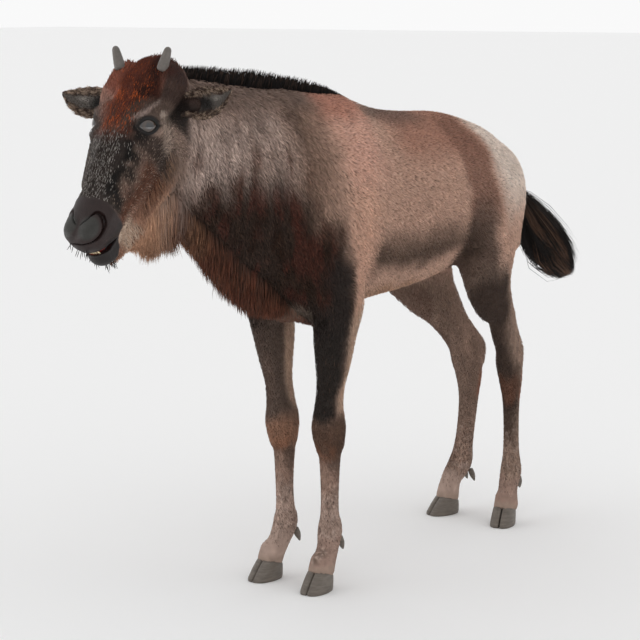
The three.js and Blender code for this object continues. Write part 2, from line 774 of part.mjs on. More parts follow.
const MANE = crest(
  [
    [-706, 1024, 985, 8],
    [-690, 1030, 985, 9],
    [-642, 1014, 970, 10],
    [-540, 1008, 955, 11],
    [-436, 1000, 950, 11],
    [-288, 979, 930, 10],
    [-210, 962, 915, 8],
    [-150, 940, 900, 5],
  ],
  { seed: 7, up: true, files: [-0.3, 0.3], pitch: 38, width: 28, thick: 10, back: 22 },
);
const BEARD = crest(
  [
    [-778, 704, 775, 16],
    [-745, 688, 800, 26],
    [-690, 665, 810, 34],
    [-656, 692, 810, 34],
    [-628, 712, 800, 30],
  ],
  { seed: 11, up: false, files: [-0.8, -0.3, 0.3, 0.8], pitch: 30, width: 30, thick: 9, back: 8 },
);
const FRINGE = crest(
  [
    [-640, 714, 790, 26],
    [-600, 678, 770, 28],
    [-525, 616, 730, 30],
    [-440, 555, 670, 30],
    [-380, 533, 640, 30],
    [-300, 519, 590, 26],
    [-240, 520, 580, 16],
  ],
  { seed: 23, up: false, files: [-0.6, 0, 0.6], pitch: 46, width: 34, thick: 11, back: 34 },
);

// Head, with its lids, mouth and nostrils
const GAZE = unit([0.8, -0.58, 0.12]);
const LID = { thick: 3, half: 16, upper: 10, lower: 11.5 };
const ball = (centre, radius, sides) =>
  solid(
    new THREE.SphereGeometry(radius, sides, sides / 2).rotateZ(0.3),
    new THREE.Matrix4().setPosition(...centre),
  );

/** The almond that the lids leave open, as a bar from inside the eye outward. */
function lidOpening(side) {
  const shape = new THREE.Shape();
  shape.moveTo(-LID.half, 0);
  shape.quadraticCurveTo(0, 2 * LID.upper, LID.half, 0);
  shape.quadraticCurveTo(0, -2 * LID.lower, -LID.half, 0);
  const along = unit(cross(GAZE, [0, 0, 1]));
  const axes = [along, cross(GAZE, along), GAZE].map((axis) => new THREE.Vector3(...axis));
  const basis = new THREE.Matrix4().makeBasis(...axes).setPosition(...EYE);
  const made = new THREE.ExtrudeGeometry(shape, { depth: 60, bevelEnabled: false, curveSegments: 6 });
  return mirrored(solid(made, basis), side);
}

/** A solid made for the left side, put on either side. */
function mirrored(made, side) {
  if (side > 0) return made;
  const { vertProperties, triVerts } = made.getMesh();
  const points = [];
  for (let i = 0; i < vertProperties.length; i += 3)
    points.push([-vertProperties[i], vertProperties[i + 1], vertProperties[i + 2]]);
  const faces = [];
  for (let i = 0; i < triVerts.length; i += 3) faces.push([triVerts[i], triVerts[i + 1], triVerts[i + 2]]);
  return solidOf(points, faces);
}

/** A short horn, sunk a little way into the head. */
function hornBar(side, grow) {
  const foot = [49, -729, 1010];
  const tip = [62, -727, 1046];
  const at = (t) => foot.map((c, i) => c + t * (tip[i] - c));
  const shares = [
    [grow ? -0.24 : -0.22, 1.12],
    [0.2, 0.95],
    [0.6, 0.78],
    [0.85, 0.64],
    [0.97, 0.4],
  ];
  const rows = shares.map(([t, share]) => [...at(t), HORN_RADIUS * share + grow]);
  return mirrored(bar(rows, 10), side);
}

/** The gap between the lips, from outside the face back to the corners of the mouth. */
function mouthGap() {
  const half = 60; // well past both cheeks
  // down the face and out of it, for the upper lip and then for the lower one
  const rows = [
    [352, -36, 350, -46],
    [318, -59, 316, -64],
    [299, -70, 299, -71],
  ];
  return loft(
    rows.map(([s, n, lowS, lowN]) => [
      onHead(-half, s, n),
      onHead(half, s, n),
      onHead(half, lowS, lowN),
      onHead(-half, lowS, lowN),
    ]),
  );
}

// The groove round each half of the nose pad, widest at the nostril: x, down the face, out of it, radius
const NOSTRIL = [
  [10, 305, 1, 1.4],
  [21, 290, 1, 2.2],
  [31, 279, -5, 4],
  [41, 283, -13, 4.6],
  [46, 293, -18, 3.8],
  [45, 307, -22, 2.8],
  [40, 317, -24, 2.2],
  [30, 328, -25, 1.8],
  [14, 335, -23, 1.3],
];
const nostril = (side) => {
  const rows = between(NOSTRIL, 14).map(([x, down, out, radius]) => {
    const inside = onHead(0.3 * x, down - 6, -40);
    const ray = new THREE.Vector3(...onHead(x, down, out)).sub(new THREE.Vector3(...inside)).normalize();
    const [px, py, pz] = surfacePoint(flesh, inside, ray);
    return [px + 0.4 * ray.x, py + 0.4 * ray.y, pz + 0.4 * ray.z, radius];
  });
  return mirrored(bar(rows, 6), side);
};

// Lower front teeth, small blades in a shallow arch
const TEETH = { count: 6, pitch: 5.2, width: 4.6, thick: 2.4, tall: 9.2, clear: 1.8 };
const SQUARE = [[-1, -1], [1, -1], [1, 1], [-1, 1]];
const teeth = Array.from({ length: TEETH.count }, (_, i) => {
  const x = (i - (TEETH.count - 1) / 2) * TEETH.pitch;
  const down = 332 - (x * x) / 60;
  const roof = -36 - (23 * (352 - down)) / 34; // the upper lip over this tooth
  const edge = roof - TEETH.clear;
  const blade = (out, thick) =>
    SQUARE.map(([u, v]) => onHead(x + (u * TEETH.width) / 2, down + (v * thick) / 2, out));
  return loft([blade(edge - TEETH.tall, TEETH.thick + 1), blade(edge, TEETH.thick / 2)]);
});

const headMesh = polygonise(
  (x, s, n) => flesh(...onHead(x, s, n)),
  [
    lines(-105, 105, 10.5),
    [...lines(-72, 56, 12.5), ...lines(66, 140, 9), ...lines(150, 254, 11.5), ...lines(262, 354, 8)],
    [...lines(-221, -121, 13), ...lines(-111, 36, 10)],
  ],
  onHead,
);
const SIDES = { left: 1, right: -1 };
const BALL_SIDES = 14;
let headSolid = headMesh;
for (const side of Object.values(SIDES)) {
  const lids = ball(flip(side, EYE), EYE_RADIUS + LID.thick, BALL_SIDES);
  headSolid = headSolid
    .add(lids)
    .subtract(ball(flip(side, EYE), EYE_RADIUS + GAP, BALL_SIDES))
    .subtract(lidOpening(side))
    .subtract(hornBar(side, GAP))
    .subtract(nostril(side));
}
const belowEarCut = box([-EAR_CUT + GAP / 2, EAR_CUT - GAP / 2], [-1500, 0], [0, 1500]);
const withHair = join([headSolid.subtract(mouthGap()), ...teeth, MANE, BEARD]);
add("head", intersect(withHair, sideOf(HEAD_CUT), belowEarCut), coat);
for (const [name, side] of Object.entries(SIDES)) {
  add("eye_" + name, ball(flip(side, EYE), EYE_RADIUS, BALL_SIDES), eyeball);
  add("horn_" + name, hornBar(side, 0), horn);
  add("ear_" + name, earLeaf(side), coat);
}

/** An ear: a leaf rolled into a cup, open to the front. */
function earLeaf(side) {
  const root = [80, -702, 946];
  const tip = [80 + 0.98 * EAR_LENGTH, -722, 966 + 8 * side];
  const axis = unit([tip[0] - root[0], tip[1] - root[1], tip[2] - root[2]]);
  const wide = unit([-0.22, 0.12, 0.97]);
  const front = [0, -1, 0];
  // share of the way to the tip, half width, depth of the cup, wall, rise of the middle line
  const rows = [
    [-0.06, 17, 19, 13, 0],
    [0.04, 18, 19, 9, 0],
    [0.13, 21, 18, 4.5, -1],
    [0.25, 25, 17, 3.6, -3],
    [0.45, 27, 15, 3.2, -6],
    [0.65, 23, 12, 2.8, -7],
    [0.82, 15, 7, 2.4, -5],
    [0.94, 7, 3, 2, 0],
  ];
  const STEPS = 5;
  const rings = rows.map(([t, half, depth, wall, rise]) => {
    const centre = root.map((c, i) => c + t * (tip[i] - c) + rise * wide[i]);
    const points = [];
    const arc = (h, d, from, to) => {
      for (let i = 0; i <= STEPS; i++) {
        const turn = THREE.MathUtils.degToRad(from + ((to - from) * i) / STEPS);
        const u = h * Math.sin(turn);
        const v = -d * Math.cos(turn) + d * 0.4;
        points.push([0, 1, 2].map((c) => centre[c] + u * wide[c] + v * front[c]));
      }
    };
    arc(half, depth, -100, 100);
    arc(half - wall, depth - wall, 92, -92);
    return points;
  });
  rings.push([tip]);
  const cut = { point: [EAR_CUT, 0, 0], normal: [-1, 0, 0] };
  return mirrored(intersect(loft(rings), sideOf(cut, false)), side);
}

// Neck and torso
const TRUNK_SIDES = 28;
const headEnd = shifted(HEAD_CUT, SPARE);
const neckStations = Array.from({ length: 11 }, (_, i) => {
  const t = i < 10 ? (0.96 * i) / 9 : 1.04; // the last two stand on either side of the cut, for the torso too
  const lerp = (a, b) => a.map((c, n) => c + t * (b[n] - c));
  return {
    at: lerp([0, headEnd.point[1] - 3, 880], [0, NECK_CUT.point[1] + 6, 760]),
    along: lerp(HEAD_CUT.normal, NECK_CUT.normal).map((c) => -c),
  };
});
add(
  "neck",
  intersect(
    wrap(flesh, neckStations, TRUNK_SIDES).add(MANE).add(FRINGE),
    sideOf(HEAD_CUT, false),
    sideOf(NECK_CUT),
  ),
  coat,
);

/** The cut between a leg and the torso. It faces up. */
const legCut = (hind, side) => {
  const { base, out, back } = hind ? HIND_CUT : FORE_CUT;
  return { point: [0, 0, base], normal: [-side * out, -back, 1] };
};

/** The space that a leg is cut out of, grown by g where it meets the torso and the other leg. */
function legBlock(hind, side, g) {
  const across = [-g, 400].map((c) => c * side).sort((a, b) => a - b);
  const lengthwise = hind ? [BELLY_Y, 700] : [-700, BELLY_Y];
  const { point, normal } = legCut(hind, side);
  return box(across, lengthwise, [-50, 800]).intersect(behind(moved(point, normal, g), normal));
}

/** The space round the tail, from the cut across its root outward, which the torso leaves free. */
const TAIL_CUT = {
  point: DOCK[2].slice(0, 3),
  normal: [0, DOCK[3][1] - DOCK[2][1], DOCK[3][2] - DOCK[2][2]],
};
function tailSpace() {
  const [width, length] = [62, 600];
  const turn = new THREE.Quaternion().setFromUnitVectors(
    new THREE.Vector3(0, 0, 1),
    new THREE.Vector3(...TAIL_CUT.normal).normalize(),
  );
  const matrix = new THREE.Matrix4().makeRotationFromQuaternion(turn).setPosition(...TAIL_CUT.point);
  return solid(new THREE.BoxGeometry(width, width, length).translate(0, 0, length / 2 - GAP / 2), matrix);
}

const torsoCentres = between([
  [0, -346, 740],
  [0, -240, 722],
  [0, -120, 715],
  [0, 100, 722],
  [0, 300, 742],
  [0, 340, 744],
], 18);
const torsoRings = torsoCentres.map((at, i) => ({ at, along: [0, 1, i === 0 ? -0.05 : 0] }));
const rumpTilts = [15, 30, 45, 60, 75, 90];
const rump = rumpTilts.map((tilt) => ({ at: torsoCentres.at(-1), along: [0, 1, 0], tilt }));
const torsoStations = [...neckStations.slice(-2), ...torsoRings, ...rump];
const torsoFlesh = (x, y, z) => {
  const { base, out, back } = y < BELLY_Y ? FORE_CUT : HIND_CUT;
  return Math.max(flesh(x, y, z), base - SPARE + out * Math.abs(x) + back * y - z);
};
const legBlocks = [true, false].flatMap((hind) => [1, -1].map((side) => legBlock(hind, side, GAP / 2)));
add(
  "torso",
  [...legBlocks, tailSpace()].reduce(
    (rest, block) => rest.subtract(block),
    wrap(torsoFlesh, torsoStations, TRUNK_SIDES).add(MANE).add(FRINGE).intersect(sideOf(NECK_CUT, false)),
  ),
  coat,
);

// Legs
const LEG_SIDES = 14;
const CLAW_STEPS = 7;
const LEGS = {
  fore: {
    mid: KNEE_Z,
    ankle: [55, -266],
    cutAt: [92, -290],
    upper: [
      [88, -286, 520],
      [80, -282, 490],
      [71, -278, 450],
      [65, -276, 410],
      [61, -275, 370],
      [58, -274, 340],
      [57, -273, 312],
    ],
    knee: [57, -270],
    lower: [[56, -268, 225], [56, -268, 180]],
  },
  hind: {
    mid: HOCK_Z,
    ankle: [63, 370],
    cutAt: [92, 262],
    upper: [
      [90, 262, 550],
      [86, 268, 520],
      [80, 284, 490],
      [72, 304, 460],
      [64, 332, 430],
      [59, 356, 400],
      [56, 372, 375],
      [55, 378, 350],
      [54, 380, 320],
    ],
    knee: [54, 382],
    lower: [[55, 383, 240], [59, 379, 175]],
  },
};

/** The part of space between two heights. */
const level = (z0, z1) => box([-600, 600], [-900, 900], [z0, z1]);

/** Stations of level rings round a list of centres. */
const flat = (centres) => centres.map((at) => ({ at, along: [0, 0, -1] }));
for (const [name, foot] of Object.entries(FEET)) {
  const { side } = foot;
  const hind = name.startsWith("hind");
  const { mid, knee, upper, lower, cutAt, ankle } = hind ? LEGS.hind : LEGS.fore;
  const on = (centres) => centres.map((at) => flip(side, at));
  const cut = legCut(hind, side);
  const { base, out, back } = hind ? HIND_CUT : FORE_CUT;
  const cutStation = (by) => {
    const at = [side * cutAt[0], cutAt[1], base + out * cutAt[0] + back * cutAt[1] + by];
    return { at, along: cut.normal.map((c) => -c) };
  };
  const astride = ([x, y], z) => flat(on([[x, y, z + SPARE], [x, y, z - SPARE]]));
  const turning = flat(on(upper)).map(({ at }, i) => {
    const t = Math.max(0, 1 - (i + 1) / 4);
    return { at, along: [-t * cut.normal[0], -t * cut.normal[1], -1] };
  });
  add(
    name + "_upper",
    intersect(
      wrap(flesh, [cutStation(SPARE), cutStation(-SPARE), ...turning, ...astride(knee, mid)], LEG_SIDES),
      legBlock(hind, side, -GAP / 2),
      level(mid + GAP / 2, 900),
    ),
    coat,
  );
  const shankStations = [...astride(knee, mid), ...flat(on(lower)), ...astride(ankle, FETLOCK_Z)];
  add(
    name + "_shank",
    wrap(flesh, shankStations, LEG_SIDES).intersect(level(FETLOCK_Z + GAP / 2, mid - GAP / 2)),
    coat,
  );

  // Foot: pastern, two claws and two dewclaws
  const ahead = hind ? [side * TOE_OUT[1], -TOE_OUT[0], 0] : [side * 0.08, -0.997, 0];
  const aside = [-ahead[1], ahead[0], 0].map((c) => c * side);
  const coronet = { point: [foot.x, foot.y, CORONET_Z], normal: [-0.28 * ahead[0], -0.28 * ahead[1], 1] };
  const fetlock = [side * ankle[0], ankle[1]];
  const pasternCentres = [
    [...fetlock, 100],
    [(foot.x + fetlock[0]) / 2, (foot.y + 8 + fetlock[1]) / 2, 76],
    [foot.x, foot.y + 14, 54],
    [foot.x, foot.y + 12, 40],
    [foot.x, foot.y + 10, 22],
  ];
  const from = ([x, y], u, v, z) => [x + u * aside[0] + v * ahead[0], y + u * aside[1] + v * ahead[1], z];
  const spot = (u, v, z) => from([foot.x, foot.y], u, v, z);
  const dewclaw = (u, grow) => {
    const start = from(fetlock, u, -18, 90);
    const end = from(fetlock, u, -31, 90 - DEWCLAW_LENGTH);
    const rows = [
      [grow ? -0.02 : 0, 6.5],
      [0.35, 7.5],
      [0.7, 6.5],
      [0.95, 3.5],
    ];
    return bar(rows.map(([t, radius]) => [...start.map((c, i) => c + t * (end[i] - c)), radius + grow]), 7);
  };
  let pastern = wrap(flesh, [...astride(ankle, FETLOCK_Z), ...flat(pasternCentres)], LEG_SIDES);
  pastern = intersect(pastern, level(-50, FETLOCK_Z - GAP / 2), sideOf(coronet));
  for (const u of [-12, 12]) pastern = pastern.subtract(dewclaw(u, GAP));
  add(name + "_pastern", pastern, coat);
  for (const [which, hand] of [["outer", 1], ["inner", -1]]) {
    // Each row is height, toe, heel and width, from the middle of the foot; the cleft runs between the claws
    const rows = [
      [0, 38, -30, 1],
      [7, 38, -32, 1.04],
      [22, 27, -33, 1],
      [40, 14, -33, 0.95],
      [56, 6, -31, 0.9],
    ];
    const outline = (z, toe, heel, share) => {
      const middle = (toe + heel) / 2;
      const half = (toe - heel) / 2;
      const points = [];
      for (let i = 0; i <= CLAW_STEPS; i++) {
        const turn = Math.PI * (i / CLAW_STEPS);
        const across = i === 0 || i === CLAW_STEPS ? 2 : CLAW_WIDTH * share * Math.sin(turn) ** 0.8;
        points.push(spot(hand * (0.8 + across), middle + half * Math.cos(turn), z));
      }
      points.push(spot(hand * 0.8, heel + 3, z), spot(hand * 0.8, toe - 6, z));
      return points;
    };
    const claw = loft(rows.map(([z, toe, heel, share]) => outline(z, toe, heel, share)));
    add(name + "_claw_" + which, claw.intersect(sideOf(coronet, false)), hoofHorn);
    add(name + "_dewclaw_" + which, dewclaw(12 * hand, 0), hoofHorn);
  }
}

// Tail: the dock and the long hair on it
const dockStations = path(between(DOCK.slice(2).map((row) => row.slice(0, 3)), 8), [], [30, 60, 90]);
// The tassel's middle line: y, z, half width, half depth
const TASSEL = [
  [488, 700, 9, 14],
  [504, 668, 14, 32],
  [530, 640, 18, 46],
  [570, 606, 20, 50],
  [612, 575, 19, 46],
  [655, 545, 15, 28],
  [700, 515, 8, 13],
  [732, 496, 2, 3],
];
// The share of TASSEL's rows at which each tier of its locks starts and ends, and how many there are
const TIERS = [
  [0.1, 2.9, 6],
  [1.2, 4.9, 6],
  [2.8, 6.9, 6],
];
const TASSEL_DEPTH = [0, 0.62, 0.78];

/** The tail's long hair: tiers of locks round a core half as wide and not as long. */
function tassel() {
  const random = shuffled(31);
  const rowOn = (t) => {
    const start = Math.min(Math.floor(t), TASSEL.length - 2);
    return along(TASSEL, start, t - start);
  };
  const spot = (t, turn, share) => {
    const [y, z, half, deep] = rowOn(t);
    const v = share * deep * Math.sin(turn);
    return [share * half * Math.cos(turn), y + TASSEL_DEPTH[1] * v, z + TASSEL_DEPTH[2] * v];
  };
  const locks = TIERS.flatMap(([from, to, count], tier) =>
    Array.from({ length: count }, (_, i) => {
      const turn = (2 * Math.PI * (i + tier / 2)) / count;
      const end = to + random(-0.5, 0.1);
      const wide = plus(spot(from + 1, turn + 0.3, 1), scaled(spot(from + 1, turn - 0.3, 1), -1));
      const middle = spot((from + end) / 2, turn, 0.75);
      return lock(spot(from, turn, 0.3), middle, spot(end, turn, 1), wide, 32, 9);
    }),
  );
  const core = TASSEL.slice(0, 6).map(([y, z, half, deep]) =>
    ring([0, y, z], [0.4 * half, 0, 0], scaled(TASSEL_DEPTH, 0.4 * deep), circle(6)),
  );
  return join([loft(core), ...locks]);
}
add("tail", wrap(tail, dockStations, 10).add(tassel()).intersect(sideOf(TAIL_CUT)), blackHair);

// The origin: on the floor, in the middle of the whole animal
const reach = new THREE.Box3().setFromObject(wildebeest);
const middle = reach.getCenter(new THREE.Vector3());
for (const mesh of wildebeest.children) mesh.geometry.translate(-middle.x, -middle.y, -reach.min.z);

export default wildebeest;
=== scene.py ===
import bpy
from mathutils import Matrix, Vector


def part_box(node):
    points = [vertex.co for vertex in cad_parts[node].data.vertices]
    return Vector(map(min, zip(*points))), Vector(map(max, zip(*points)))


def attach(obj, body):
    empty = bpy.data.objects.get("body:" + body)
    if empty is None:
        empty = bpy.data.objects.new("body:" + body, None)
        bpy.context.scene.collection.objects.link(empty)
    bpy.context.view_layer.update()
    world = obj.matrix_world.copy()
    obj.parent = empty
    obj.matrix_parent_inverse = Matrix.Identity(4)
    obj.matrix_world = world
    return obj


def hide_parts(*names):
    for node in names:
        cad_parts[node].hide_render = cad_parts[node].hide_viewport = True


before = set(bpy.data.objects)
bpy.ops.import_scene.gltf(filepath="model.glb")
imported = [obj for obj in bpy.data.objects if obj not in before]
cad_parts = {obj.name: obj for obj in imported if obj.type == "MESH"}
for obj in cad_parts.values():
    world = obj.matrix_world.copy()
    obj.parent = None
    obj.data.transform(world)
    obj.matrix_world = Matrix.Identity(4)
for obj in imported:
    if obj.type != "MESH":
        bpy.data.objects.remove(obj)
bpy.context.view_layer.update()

import math
from functools import reduce

import bmesh
import bpy
import numpy as np

# The animal is laid out in millimetres in a drawing of its own, facing -Y, with its own left at +X. The head has a
# frame of its own: x across, s down the face from the forehead's top, n out of the face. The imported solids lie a
# little way along Y from the drawing, which the eye's place tells.
HEAD_TOP = np.array([0.0, -735.0, 1018.0])
FACE_LEAN = math.radians(31)
DOWN_FACE = np.array([0, -math.sin(FACE_LEAN), -math.cos(FACE_LEAN)])
OUT_OF_FACE = np.array([0, -math.cos(FACE_LEAN), math.sin(FACE_LEAN)])


def on_head(x, s, n):
    """The points x across, s down the face and n out of it."""
    across, down, out = (np.multiply.outer(v, way) for v, way in ((x, [1, 0, 0]), (s, DOWN_FACE), (n, OUT_OF_FACE)))
    return across + HEAD_TOP + down + out


def head_frame(p):
    """Each point's x, s and n: its offset from the forehead's top, measured along the head's three directions."""
    q = p - HEAD_TOP
    return p[:, 0], q @ DOWN_FACE, q @ OUT_OF_FACE


def mirrored(p):
    """Points folded across the middle plane on to the animal's left."""
    return np.column_stack([np.abs(p[:, 0]), p[:, 1:]])


EYE = on_head(51.5, 108, -22.5)
EYE_RADIUS = 19
eye_low, eye_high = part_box("eye_left")
SHIFT = np.array([0, 500 * (eye_low.y + eye_high.y) - EYE[1], 0])


def metres(p):
    """Points of the drawing, in millimetres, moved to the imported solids' frame, in metres."""
    return (np.asarray(p, float) + SHIFT) / 1000


# The camera looks down a little, from the animal's left and front, through a long lens.
AZIMUTH, ELEVATION = math.radians(37.3962), math.radians(9.0702)
DISTANCE, LENS, SENSOR = 3950.9, 112.51, 36
LOOKED_AT = np.array([-37.8, -176.6, 500.0])
back = np.array([math.sin(AZIMUTH) * math.cos(ELEVATION), -math.cos(AZIMUTH) * math.cos(ELEVATION),
                 math.sin(ELEVATION)])
camera = bpy.data.objects.new("camera", bpy.data.cameras.new("camera"))
camera.data.lens = LENS
camera.data.sensor_width = SENSOR
camera.location = metres(LOOKED_AT + DISTANCE * back)
camera.rotation_euler = (math.pi / 2 - ELEVATION, 0, AZIMUTH)
bpy.context.scene.collection.objects.link(camera)
bpy.context.scene.camera = camera


# Flesh. Bone and muscle under one skin. The body is one smooth field, a sum of limbs strung on curves, and the skin
# is that field's surface, drawn in by the coat's depth.
def smooth(low, high, v):
    """Nought at low, one at high, and 3t² - 2t³ between, where t is v's share of the way. It may fall as v grows."""
    t = np.clip((v - low) / (high - low), 0, 1)
    return t * t * (3 - 2 * t)


def curve(rows, steps):
    """Rows on the smooth curve through rows: on each span a cubic through its two ends, whose slope at each end
    is half the chord between the rows on either side of it."""
    rows = np.asarray(rows, float)
    padded = np.vstack([rows[:1], rows, rows[-1:]])
    t = (np.arange(steps) / steps)[:, None]
    spans = [b + 0.5 * t * (c - a + t * (2 * a - 5 * b + 4 * c - d + t * (3 * (b - c) + d - a)))
             for a, b, c, d in zip(padded, padded[1:], padded[2:], padded[3:])]
    return np.vstack(spans + [rows[-1:]])


def unit(v):
    """Vectors along the last axis, each divided by its length."""
    v = np.asarray(v, float)
    return v / np.maximum(np.linalg.norm(v, axis=-1, keepdims=True), 1e-12)


REACH = 90  # beyond this a limb shapes nothing near by


def limb(stations, across=(1, 0, 0), steps=4):
    """The distance to ellipses strung on a smooth curve. Each station is x, y, z, half width across, half depth.
    With u, v and e the place in shares of the half axes, the distance is size (size - 1) / steepness, where size
    is the length of (u, v, e) and steepness that of its shares of the axes once more."""
    rows = curve(stations, steps)
    a, b = rows[:-1], rows[1:]
    length = np.linalg.norm(b[:, :3] - a[:, :3], axis=1)
    t = (b[:, :3] - a[:, :3]) / length[:, None]
    up = unit(np.cross(t, across))
    aside = np.cross(up, t)
    widest = rows[:, 3:].max(1)[:, None]
    low, high = (rows[:, :3] - widest).min(0), (rows[:, :3] + widest).max(0)

    def distance(p):
        out = np.maximum(low - p, p - high).max(1)
        near = out <= REACH
        q = p[near]
        best = np.full(len(q), 1e3)
        for i in range(len(a)):
            d = q - a[i, :3]
            run = d @ t[i]
            share = np.clip(run / length[i], 0, 1)
            w, h = (a[i, k] + (b[i, k] - a[i, k]) * share for k in (3, 4))
            end = np.minimum(w, h)
            u, v, e = (d @ aside[i]) / w, (d @ up[i]) / h, (run - share * length[i]) / end
            size = np.sqrt(u * u + v * v + e * e)
            steep = np.sqrt((u / w) ** 2 + (v / h) ** 2 + (e / end) ** 2)
            best = np.minimum(best, np.where(steep < 1e-9, -end, size * (size - 1) / np.maximum(steep, 1e-9)))
        out[near] = best
        return out

    return distance


def head_limb(stations, across=(1, 0, 0)):
    """A limb whose stations are given in the head's own frame."""
    return limb([[*on_head(x, s, n), w, d] for x, s, n, w, d in stations], across)


def blend(k, *fields):
    """The least of several fields, lowered by (k - gap)² / 4k where two of them are closer than k."""
    def meet(a, b):
        h = np.maximum(k - np.abs(a - b), 0) / k
        return np.minimum(a, b) - h * h * k / 4
    return lambda p: reduce(meet, (field(p) for field in fields))


def both(field):
    """A field and its mirror image across the middle plane."""
    return lambda p: field(mirrored(p))


# The barrel: how far back, the back's height, the belly's height and half the width
barrel = limb([[0, y, (top + bottom) / 2, half, (top - bottom) / 2] for y, top, bottom, half in [
    (-366, 850, 626, 72), (-318, 893, 556, 98), (-235, 916, 526, 120), (-120, 908, 536, 136), (0, 892, 544, 146),
    (105, 886, 560, 144), (200, 876, 592, 130), (290, 855, 622, 112), (346, 818, 664, 86), (372, 778, 700, 54),
]])
spine_ridge = limb([
    [0, -330, 894, 26, 22], [0, -215, 914, 24, 24], [0, -150, 912, 26, 24], [0, -60, 892, 32, 22],
    [0, 40, 883, 38, 22], [0, 147, 878, 42, 22], [0, 240, 860, 42, 20], [0, 330, 829, 32, 18], [0, 380, 786, 22, 14],
])
neck = limb([
    [0, -215, 756, 108, 178], [0, -310, 764, 96, 190], [0, -400, 784, 84, 186], [0, -480, 814, 75, 164],
    [0, -560, 850, 68, 138], [0, -630, 888, 62, 110], [0, -690, 930, 54, 78],
])
haunch = limb([[50, 312, 744, 42, 56], [60, 338, 690, 38, 54], [66, 334, 620, 32, 50]])
flank_fold = limb([[92, 176, 640, 18, 30], [92, 206, 576, 24, 34]])
breast = limb([[32, -352, 650, 38, 48], [36, -340, 592, 38, 40], [34, -300, 556, 34, 34]])
skull = head_limb([
    [0, 8, -56, 58, 47], [0, 44, -54, 66, 52], [0, 84, -54, 69, 55], [0, 120, -55, 67, 58], [0, 160, -54, 60, 58],
    [0, 205, -52, 51, 53], [0, 245, -48, 44, 46], [0, 270, -44, 42, 40],
])
temple = head_limb([[58, 14, -34, 20, 19], [71, 42, -33, 17, 18], [66, 78, -30, 13, 14]])
muzzle = head_limb([[0, 262, -38, 42, 36], [0, 288, -37, 42, 33], [0, 310, -34, 39, 29]])
chin = head_limb([[0, 256, -106, 32, 23], [0, 296, -93, 31, 23], [0, 322, -78, 25, 22]])
lower_jaw = head_limb([[0, 84, -124, 42, 36], [0, 140, -122, 42, 36], [0, 195, -110, 35, 30], [0, 245, -96, 30, 25]])
cheek = head_limb([[36, 96, -92, 22, 40], [36, 150, -88, 20, 38], [28, 205, -76, 16, 28]])
cheekbone = head_limb([[62, 112, -38, 12, 14], [54, 160, -42, 13, 16], [42, 215, -44, 12, 16]])
brow = head_limb([[48, 82, -16, 12, 11], [62, 98, -14, 12, 11], [66, 120, -34, 11, 12]])
socket = limb([[*(EYE + [step, 0, 0]), EYE_RADIUS + 1, EYE_RADIUS + 1] for step in (0, 2)], (0, 0, 1), 1)
nose_pad = head_limb([
    [0, 317, -19, 17, 15], [17, 309, -19, 20, 15], [30, 293, -23, 17, 12], [37, 278, -25, 11, 9],
], DOWN_FACE)
ear_root = head_limb([[44, 46, -70, 24, 24], [78, 43, -70, 19, 20], [98, 40, -70, 17, 18]], DOWN_FACE)
horn_root = head_limb([[38, 22, -26, 18, 16], [48, 8, -22, 16, 14]])
horn_boss = limb([[44, -716, 998, 17, 15], [64, -712, 982, 19, 18]])
DOCK = [
    [0, 352, 798, 26, 26], [0, 398, 788, 21, 20], [0, 438, 760, 17, 17], [0, 480, 718, 14, 14], [0, 522, 684, 12, 12],
    [0, 552, 664, 9, 9], [0, 580, 644, 5, 5],
]
skull_and_jaw = blend(30, skull, lower_jaw, both(cheek), both(cheekbone))
bare_head = blend(18, skull_and_jaw, both(temple), both(brow), both(socket), muzzle, chin, both(ear_root),
                  both(horn_root))
head = blend(8, bare_head, both(nose_pad))
trunk_and_neck = blend(50, blend(24, barrel, spine_ridge), neck, both(haunch), both(flank_fold), both(breast))

TOE_OUT = (math.cos(0.3), math.sin(0.3), 0)
# Each foot: its side, where the middle of its claws stands, how far back the stifle is, and the ham's y and depth
FEET = {
    "fore_left": (1, 67, -320, 0, None),
    "fore_right": (-1, -65, -313, 0, None),
    "hind_left": (1, 84, 320, -6, (302, 41)),
    "hind_right": (-1, -72, 322, 2, (299, 54)),
}


